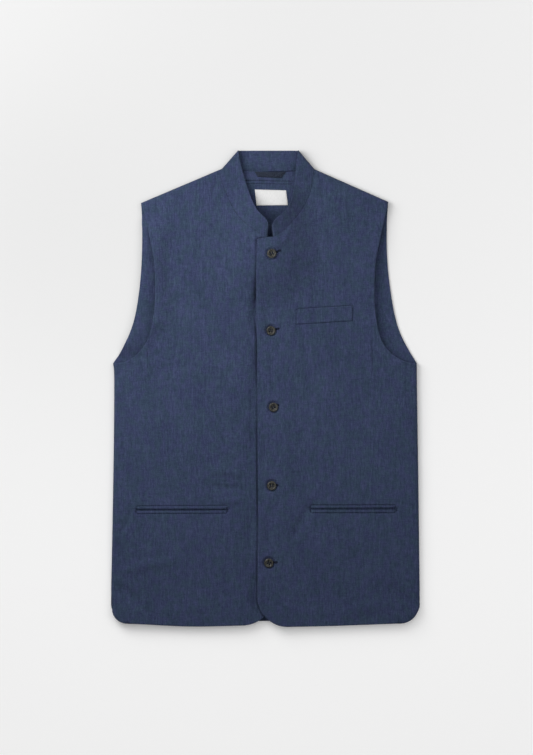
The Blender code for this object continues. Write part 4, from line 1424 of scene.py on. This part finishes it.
def tape_material():
    """Dark ribbed tape."""
    nodes = Nodes("twill_tape")
    split = nodes.add("ShaderNodeSeparateXYZ", {0: nodes.place})
    slope = nodes.math("ADD", split.outputs["X"], split.outputs["Y"])
    ribs = nodes.math("SINE", nodes.math("MULTIPLY", slope, TAU / 0.0013))
    mottle = nodes.noise(nodes.place, 700.0)
    tone = nodes.math("MULTIPLY_ADD", ribs, 0.12, mottle)
    colour = nodes.ramp(tone, (0.3, (0.011, 0.015, 0.026)), (0.7, (0.026, 0.034, 0.055)))
    return nodes.surface(colour, ribs, 0.0002, 0.6, Roughness=0.85, Specular_IOR_Level=0.15)


def label_material():
    """White woven label: a fine satin with cross ribs, blank."""
    nodes = Nodes("woven_label")
    split = nodes.add("ShaderNodeSeparateXYZ", {0: nodes.place})
    ribs = nodes.math("SINE", nodes.math("MULTIPLY", split.outputs["Y"], TAU / 0.0009))
    threads = nodes.noise(nodes.scaled((1500.0, 240.0, 200.0)), detail=1.0)
    tone = nodes.math("MULTIPLY_ADD", ribs, 0.06, threads)
    colour = nodes.ramp(tone, (0.25, (0.54, 0.54, 0.54)), (0.75, (0.63, 0.63, 0.625)))
    return nodes.surface(colour, tone, 0.0001, 0.5, Roughness=0.55, Sheen_Weight=0.1)


def horn_material():
    """Dark olive-brown horn with paler streaks, polished and slightly worn."""
    nodes = Nodes("horn")
    streak = nodes.noise(nodes.scaled((520.0, 150.0, 200.0), 0.6), detail=4.0, rough=0.6, Distortion=1.2)
    spots = nodes.noise(nodes.place, 900.0, 2.0)
    tone = nodes.math("MULTIPLY_ADD", spots, 0.2, streak)
    colour = nodes.ramp(
        tone, (0.42, (0.011, 0.011, 0.010)), (0.62, (0.036, 0.036, 0.033)), (0.82, (0.086, 0.083, 0.068))
    )
    wear = nodes.noise(nodes.place, 1600.0, 2.0)
    rough = nodes.math("MULTIPLY_ADD", wear, 0.18, 0.2)
    return nodes.surface(colour, wear, 0.00006, 0.5, Roughness=rough, Specular_IOR_Level=0.25)


def thread_material(name, dark, light, shine):
    """Twisted sewing thread."""
    nodes = Nodes(name)
    ply = nodes.noise(nodes.scaled((2600.0, 2600.0, 900.0), 0.5), detail=1.0)
    colour = nodes.ramp(ply, (0.3, dark), (0.7, light))
    return nodes.surface(colour, ply, 0.00012, 0.6, Roughness=0.7, Specular_IOR_Level=shine)


# The light: a soft lamp low on the left of the page, a broad one above the page's top, and even light from
# all round. Each lamp has its place, what it points at, its size and power, and the light it gives the
# floor's middle.
LAMPS = {
    "side": {"place": (-0.567, 0.427, 0.554), "aim": (0, 0, 0), "size": 0.6, "power": 5.96, "light": 0.4},
    "over": {"place": (0.1, 0.4, 0.8), "aim": (0.1, 0.4, 0), "size": 1.6, "power": 8.3, "light": 0.511},
}
# How the floor's light falls off from each: a softness and a power of the distance, and one of the angle
FALL_OFF = {"side": (0.02, 1.68, 0.5), "over": (1.98, 2.58, 0.0)}
SKY = 0.265
FLOOR_LEVEL = 0.863
PALEST_PAPER = 0.9


def floor_light(nodes, name):
    """The light that one lamp gives each spot of the floor."""
    place, (softness, fall, slant) = LAMPS[name]["place"], FALL_OFF[name]
    reach = sum(k * k for k in place)

    def to_lamp(operation):
        node = nodes.add("ShaderNodeVectorMath", {0: nodes.place, 1: place}, operation=operation)
        return node.outputs["Value"]

    away = to_lamp("DISTANCE")
    near = nodes.math("DIVIDE", reach + softness, nodes.math("MULTIPLY_ADD", away, away, softness))
    light = nodes.math("MULTIPLY", nodes.math("POWER", near, fall), LAMPS[name]["light"])
    if slant:
        facing = nodes.math("MULTIPLY_ADD", to_lamp("DOT_PRODUCT"), -1 / reach, 1.0)
        light = nodes.math("MULTIPLY", nodes.math("POWER", facing, slant), light)
    return light


def floor_material():
    """Pale paper backdrop. Its tone makes up for the lamps' fall-off, so that it looks even all over."""
    nodes = Nodes("paper_floor")
    light = nodes.math("ADD", nodes.math("ADD", floor_light(nodes, "side"), floor_light(nodes, "over")), SKY)
    tone = nodes.math("MINIMUM", nodes.math("DIVIDE", FLOOR_LEVEL, light), PALEST_PAPER)
    short = nodes.math("SUBTRACT", FLOOR_LEVEL, nodes.math("MULTIPLY", tone, light))
    tone = nodes.math("MULTIPLY_ADD", nodes.noise(nodes.place, 420.0), 0.006, tone)
    grey = nodes.add("ShaderNodeCombineColor", {0: tone, 1: tone, 2: tone}).outputs[0]
    nodes.join(short, nodes.shader.inputs["Emission Strength"])
    return nodes.surface(grey, Roughness=0.95, Specular_IOR_Level=0.0, Emission_Color=(1.0, 1.0, 1.0, 1.0))


# The camera: straight above, three metres up. The page's height is that of its picture, in metres.
CAMERA_OVER = (0.00198, 0.0187)
CAMERA_HEIGHT = 3.0
PAGE_PLANE = 0.010
PAGE_PIXELS = 755
METRES_PER_PIXEL = 0.00165
PAGE_HEIGHT = PAGE_PIXELS * METRES_PER_PIXEL
SENSOR = 36.0
FLOOR_HALF = 4000
FLOOR_DROP = 0.0002

# Trims
# A button's profile, as (radius, height) from the middle of its face round its rim to that of its back
BUTTON_PROFILE = (
    (0, 1.2), (1.6, 1.22), (3, 1.32), (3.9, 1.6), (4.5, 2.1), (4.95, 2.65), (5.4, 3.05), (5.9, 3.2),
    (6.4, 3.1), (6.9, 2.75), (7.35, 2.2), (7.65, 1.65), (7.8, 1.2), (7.65, 0.75), (7.25, 0.35),
    (6.5, 0.05), (5.4, 0), (0, 0),
)
BUTTON_SIDES = 64
BUTTON_TURNS = (0.35, -0.2, 0.5, 0.1, -0.45)
HOLE_RADIUS = 1.1
HOLE_PITCH = 1.75
HOLE_SPAN = (-3, 6)
HOLE_SIDES = 16
SHANK = 1.4
STRAND_PITCH = 0.45
STRAND_RADIUS = 0.32
STRAND_STEPS = 12
STITCH_PITCH = 0.42
STITCH_RADIUS = 0.22
BUTTONHOLE_HALF = 0.95
BUTTONHOLE_START = 2.0
BUTTONHOLE_TILT = 0.1
BUTTONHOLE_ENDS = ((23.9, 226.8), (21.5, 99.6), (21.5, -26.4), (20.5, -158.6), (18.8, -285.6))
JET_WALL = 1.1
POCKET_LINES = {"right": (1.2, 0.9), "left": (1.6, 1.5)}
WELT_WALL = 1.4
LABEL_THICK = 0.7
LOOP_THICK = 1.4
# Height of the dark thread that paints the shadow in the back neck seam
NECK_SHADOW_THREAD_HEIGHT = 3.1
TRIM_GAP = 0.35
TACK_OUT = 1.6
TACK_HALF = (3.6, 0.6)
SLIT_DEPTH = 3.8
SLIT_SHARE = 0.38
# The groove along each edge of the welt: its two corners, and its depth
WELT_GROOVES = ((0, 1, 0.9), (3, 2, 1.1), (1, 2, 0.8), (0, 3, 0.4))
GROOVE_HALF_WIDTH = 0.9


def slit_heights(pocket):
    """The height on the page of a pocket's slit, at both of its ends."""
    return pocket["slit"] - pocket["tilt"] / 2, pocket["slit"] + pocket["tilt"] / 2


def trim_grooves():
    """Where each front dips beside its trims: round each pocket's lips, in its slit, and round the welt."""
    lines = {side: [groove] for side, groove in DART_GROOVE.items()}
    reach = JETS_REACH
    for side, pocket in POCKET_JETS.items():
        above, below = POCKET_LINES[side]
        left, right = pocket["ends"]
        y_left, y_right = slit_heights(pocket)
        for off, depth, half_width in (
            (reach + 0.5, above, GROOVE_HALF_WIDTH),
            (0.0, SLIT_DEPTH, SLIT_SHARE * sum(pocket["gap"])),
            (-reach - 0.5, below, GROOVE_HALF_WIDTH),
        ):
            lines[side].append((left, y_left + off, right, y_right + off, depth, half_width))
        for x, y in ((left - 0.4, y_left), (right + 0.4, y_right)):
            lines[side].append((x, y - reach, x, y + reach, 0.25, 0.8))
    for a, b, depth in WELT_GROOVES:
        lines["left"].append((*CHEST_WELT[a], *CHEST_WELT[b], depth, GROOVE_HALF_WIDTH))
    return lines


def own(piece, material, slot, *replaced):
    """Gives a piece its material and its place in the table."""
    piece.data.materials.clear()
    piece.data.materials.append(material)
    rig.ride(piece, "root")
    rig.slot(piece, slot)
    if replaced:
        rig.replaces(piece, *replaced)
    return piece


NAVY = linen("navy_linen", (0.0145, 0.022, 0.05), (0.0275, 0.0398, 0.0815), (0.046, 0.064, 0.12))
THREAD = thread_material("navy_thread", (0.004, 0.006, 0.014), (0.011, 0.016, 0.036), 0.08)
TACK_THREAD = thread_material("navy_tack_thread", (0.016, 0.024, 0.052), (0.030, 0.043, 0.086), 0.1)
WHITE_THREAD = thread_material("white_thread", (0.48, 0.48, 0.48), (0.66, 0.66, 0.66), 0.4)
HORN, TAPE, LABEL_CLOTH = horn_material(), tape_material(), label_material()

edges = {side: front_edges(side) for side in OUTWARDS}
heights = {side: front_height(side, edges[side]) for side in edges}
backs = back_edges()
inner_back = back_height(backs)
dips = trim_grooves()


def in_gathers(x, y, _):
    """Where a front's lattice is fine: round the gathers beside the neck."""
    found = np.zeros(x.shape, bool)
    for corner_x, corner_y in (Vector(corner) for corner in NECK_CORNER.values()):
        found |= np.hypot(x - corner_x, y - corner_y + 8.0) < 44.0
    return found


def shown_back(x, y, distance):
    """Where the back's lattice is fine: along its edges and inside the neck, where it shows."""
    return (distance < 45.0) & (y > 20.0) | (np.abs(x) < 75.0) & (y > 240.0)


# The edges of each front anticlockwise, its lattice's seed, the path across it, and whether rings of points
# lie round its buttons
left_loop = {
    name: (points[::-1], amounts and amounts[::-1])
    for name, (points, amounts) in reversed(edges["left"].items())
}
plans = {"right": (edges["right"], 5, overlap_path(), False), "left": (left_loop, 6, None, True)}
cloth = {}
for side, (loop, seed, path, dimpled) in plans.items():
    cloth[side] = make_panel(
        f"front_{side}_cloth", loop, heights[side], FRONT_RIM, FRONT_ROLL, 1, (PANEL_CELL, SPOT_CELL),
        in_gathers, dips[side], seed, path, dimpled,
    )
    own(cloth[side], NAVY, "linen", f"front_{side}")
back = make_panel(
    "back_cloth", backs, inner_back, BACK_RIM, BACK_ROLL, -1, BACK_CELLS, shown_back, FACING_LINES, 7
)
own(back, NAVY, "linen", "back")
collar = own(make_collar(heights), NAVY, "linen", "collar")


def jet_relief(u, v, across, up):
    return 0.1 * np.sin(TAU * u / 13.0 + v) * np.sin(math.pi * v / up)


def welt_relief(u, v, across, up):
    hem = 0.14 * (1 - climb(up - v, 8.0, 1.5))
    waves = 0.16 * np.sin(TAU * (u + 3 * v) / 34.0) * np.sin(math.pi * v / up)
    return hem + waves - 0.1 * np.sin(math.pi * u / across)


jets = []
for side, pocket in POCKET_JETS.items():
    left, right = pocket["ends"]
    y_left, y_right = slit_heights(pocket)
    gap_left, gap_right = pocket["gap"]
    for part, sign in (("upper", 1), ("lower", -1)):
        inner = (left, y_left + sign * gap_left / 2), (right, y_right + sign * gap_right / 2)
        outer = (left, y_left + sign * JETS_REACH), (right, y_right + sign * JETS_REACH)
        low, high = (inner, outer) if sign > 0 else (outer, inner)
        corners = (*low, high[1], high[0])
        name = f"pocket_jet_{side}_{part}"
        jet = make_patch(name + "_cloth", corners, heights[side], TRIM_GAP, JET_WALL, 2.2, 1.5, jet_relief)
        jets.append((own(jet, NAVY, "linen", name), side))
    for end, x, y in (("right", left - TACK_OUT, y_left), ("left", right + TACK_OUT, y_right)):
        tack = make_bar_tack(f"pocket_{side}_tack_{end}", x, y, *TACK_HALF, heights[side])
        own(tack, TACK_THREAD, "linen")
welt = make_patch("chest_welt_cloth", CHEST_WELT, heights["left"], TRIM_GAP, WELT_WALL, 2.4, 1.4, welt_relief)
own(welt, NAVY, "linen", "chest_welt")


def on_back(x, y):
    return inner_back(x, y) + WALL


def loop_relief(u, v, across, up):
    """The tape of the loop is folded along its lower edge, slack above it, and curled over at one end."""
    fold = 1.1 * bell(v - 2.4, 1.3) - 0.5 * bell(v - 5.6, 1.8)
    curl = 2.0 * bell(u - across + 8.5 - 0.5 * v, 2.0) - 0.8 * bell(u - across + 13.0 - 0.5 * v, 1.8)
    return fold + curl + 0.3 * np.sin(TAU * u / 19.0 + 0.4)


label = make_patch("label_cloth", LABEL, on_back, TRIM_GAP, LABEL_THICK, 2.4, 0.5)
own(label, LABEL_CLOTH, "label", "label")
stitches = stitch_run(LABEL, 1.6, 2.3, on_back, STITCH_RADIUS, TRIM_GAP + LABEL_THICK + 0.1)
sewn = joined("label_stitches", stitches)
own(sewn, WHITE_THREAD, "label")
tape = make_patch("hanger_tape", LOOP, on_back, TRIM_GAP, LOOP_THICK, 1.6, 1.0, loop_relief)
own(tape, TAPE, "tape", "hanger_loop")
# Rows of dark stitches along the facing's grooves. They are real stitching, and they are also painted shade that
# stands in for the shadow of the grooves.
for number, (x0, y0, x1, y1, _, _) in enumerate(FACING_LINES, start=1):
    row = stitch_line(Vector((x0, y0)), Vector((x1, y1)), 2.6, on_back, STITCH_RADIUS, 0.05)
    own(joined(f"facing_stitches_and_shade_{number}", row), THREAD, "linen")
# A very dark thread laid along the back neck seam is painted shadow. It stands for the shade where the collar meets
# the back.
neck_shadow_line = [(point.x, point.y, NECK_SHADOW_THREAD_HEIGHT) for point in back_neck() if -52.0 < point.x < 62.0]
painted_neck_shadow = joined("neck_seam_stitches", [tube(neck_shadow_line, 0.6, 8)])
own(painted_neck_shadow, THREAD, "linen")

for index, ((x, y), hole_end) in enumerate(zip(BUTTONS, BUTTONHOLE_ENDS), start=1):
    button, threads = make_button(index, x, y, heights["left"])
    own(button, HORN, "horn", f"button_{index}")
    own(threads, THREAD, "tape")
    hole_start = x + BUTTONHOLE_START, y + BUTTONHOLE_TILT * (hole_end[1] - y)
    hole = make_buttonhole(index, hole_start, hole_end, heights["left"])
    own(hole, THREAD, "tape")

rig.sheet(back, (0.511, 0.780), "laid", (), area=0.35)
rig.sheet(cloth["right"], (0.300, 0.790), "laid", ("back_cloth",), area=0.175)
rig.sheet(cloth["left"], (0.290, 0.790), "laid", ("back_cloth", "front_right_cloth"), area=0.175)
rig.sheet(collar, (0.34, 0.05), "folded", ("back_cloth", "front_right_cloth", "front_left_cloth"))
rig.sheet(welt, (0.092, 0.026), "laid", ("front_left_cloth",))
for jet, side in jets:
    width = (POCKET_JETS[side]["ends"][1] - POCKET_JETS[side]["ends"][0]) * MM
    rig.sheet(jet, (width, 0.0104), "folded", (f"front_{side}_cloth",), area=width * 0.0053)
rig.sheet(label, (0.052, 0.027), "laid", ("back_cloth",), with_pieces=(sewn,))
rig.sheet(tape, (0.051, 0.0104), "laid", ("back_cloth",))


# The floor, the light and the camera

floor_corners = [(i * FLOOR_HALF, j * FLOOR_HALF, 0) for i, j in ((-1, -1), (1, -1), (1, 1), (-1, 1))]
floor = mesh_from("floor", floor_corners, [(0, 1, 2, 3)])
floor.location.z = -FLOOR_DROP
floor.data.materials.append(floor_material())
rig.stage(floor)

scene = bpy.context.scene
scene.view_settings.view_transform = "Standard"
world = bpy.data.worlds.new("studio")
world.use_nodes = True
sky = world.node_tree.nodes["Background"].inputs
sky["Color"].default_value = (1.0, 1.0, 1.0, 1.0)
sky["Strength"].default_value = SKY
scene.world = world

for name, lamp in LAMPS.items():
    light = bpy.data.lights.new(name, "AREA")
    light.shape = "SQUARE"
    light.size = lamp["size"]
    light.energy = lamp["power"]
    stand = bpy.data.objects.new(name, light)
    stand.location = lamp["place"]
    stand.visible_camera = False
    stand.rotation_euler = (Vector(lamp["aim"]) - Vector(lamp["place"])).to_track_quat("-Z", "Y").to_euler()
    scene.collection.objects.link(stand)

camera = bpy.data.cameras.new("camera")
camera.sensor_width = SENSOR
camera.lens = SENSOR * CAMERA_HEIGHT / PAGE_HEIGHT
camera_rig = bpy.data.objects.new("camera", camera)
camera_rig.location = (*CAMERA_OVER, PAGE_PLANE + CAMERA_HEIGHT)
scene.collection.objects.link(camera_rig)
scene.camera = camera_rig

visual_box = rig.bounds()
with open("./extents.json", "w") as sizes:
    json.dump({"cad": [list(corner) for corner in cad_box], "visual": [list(corner) for corner in visual_box]}, sizes)
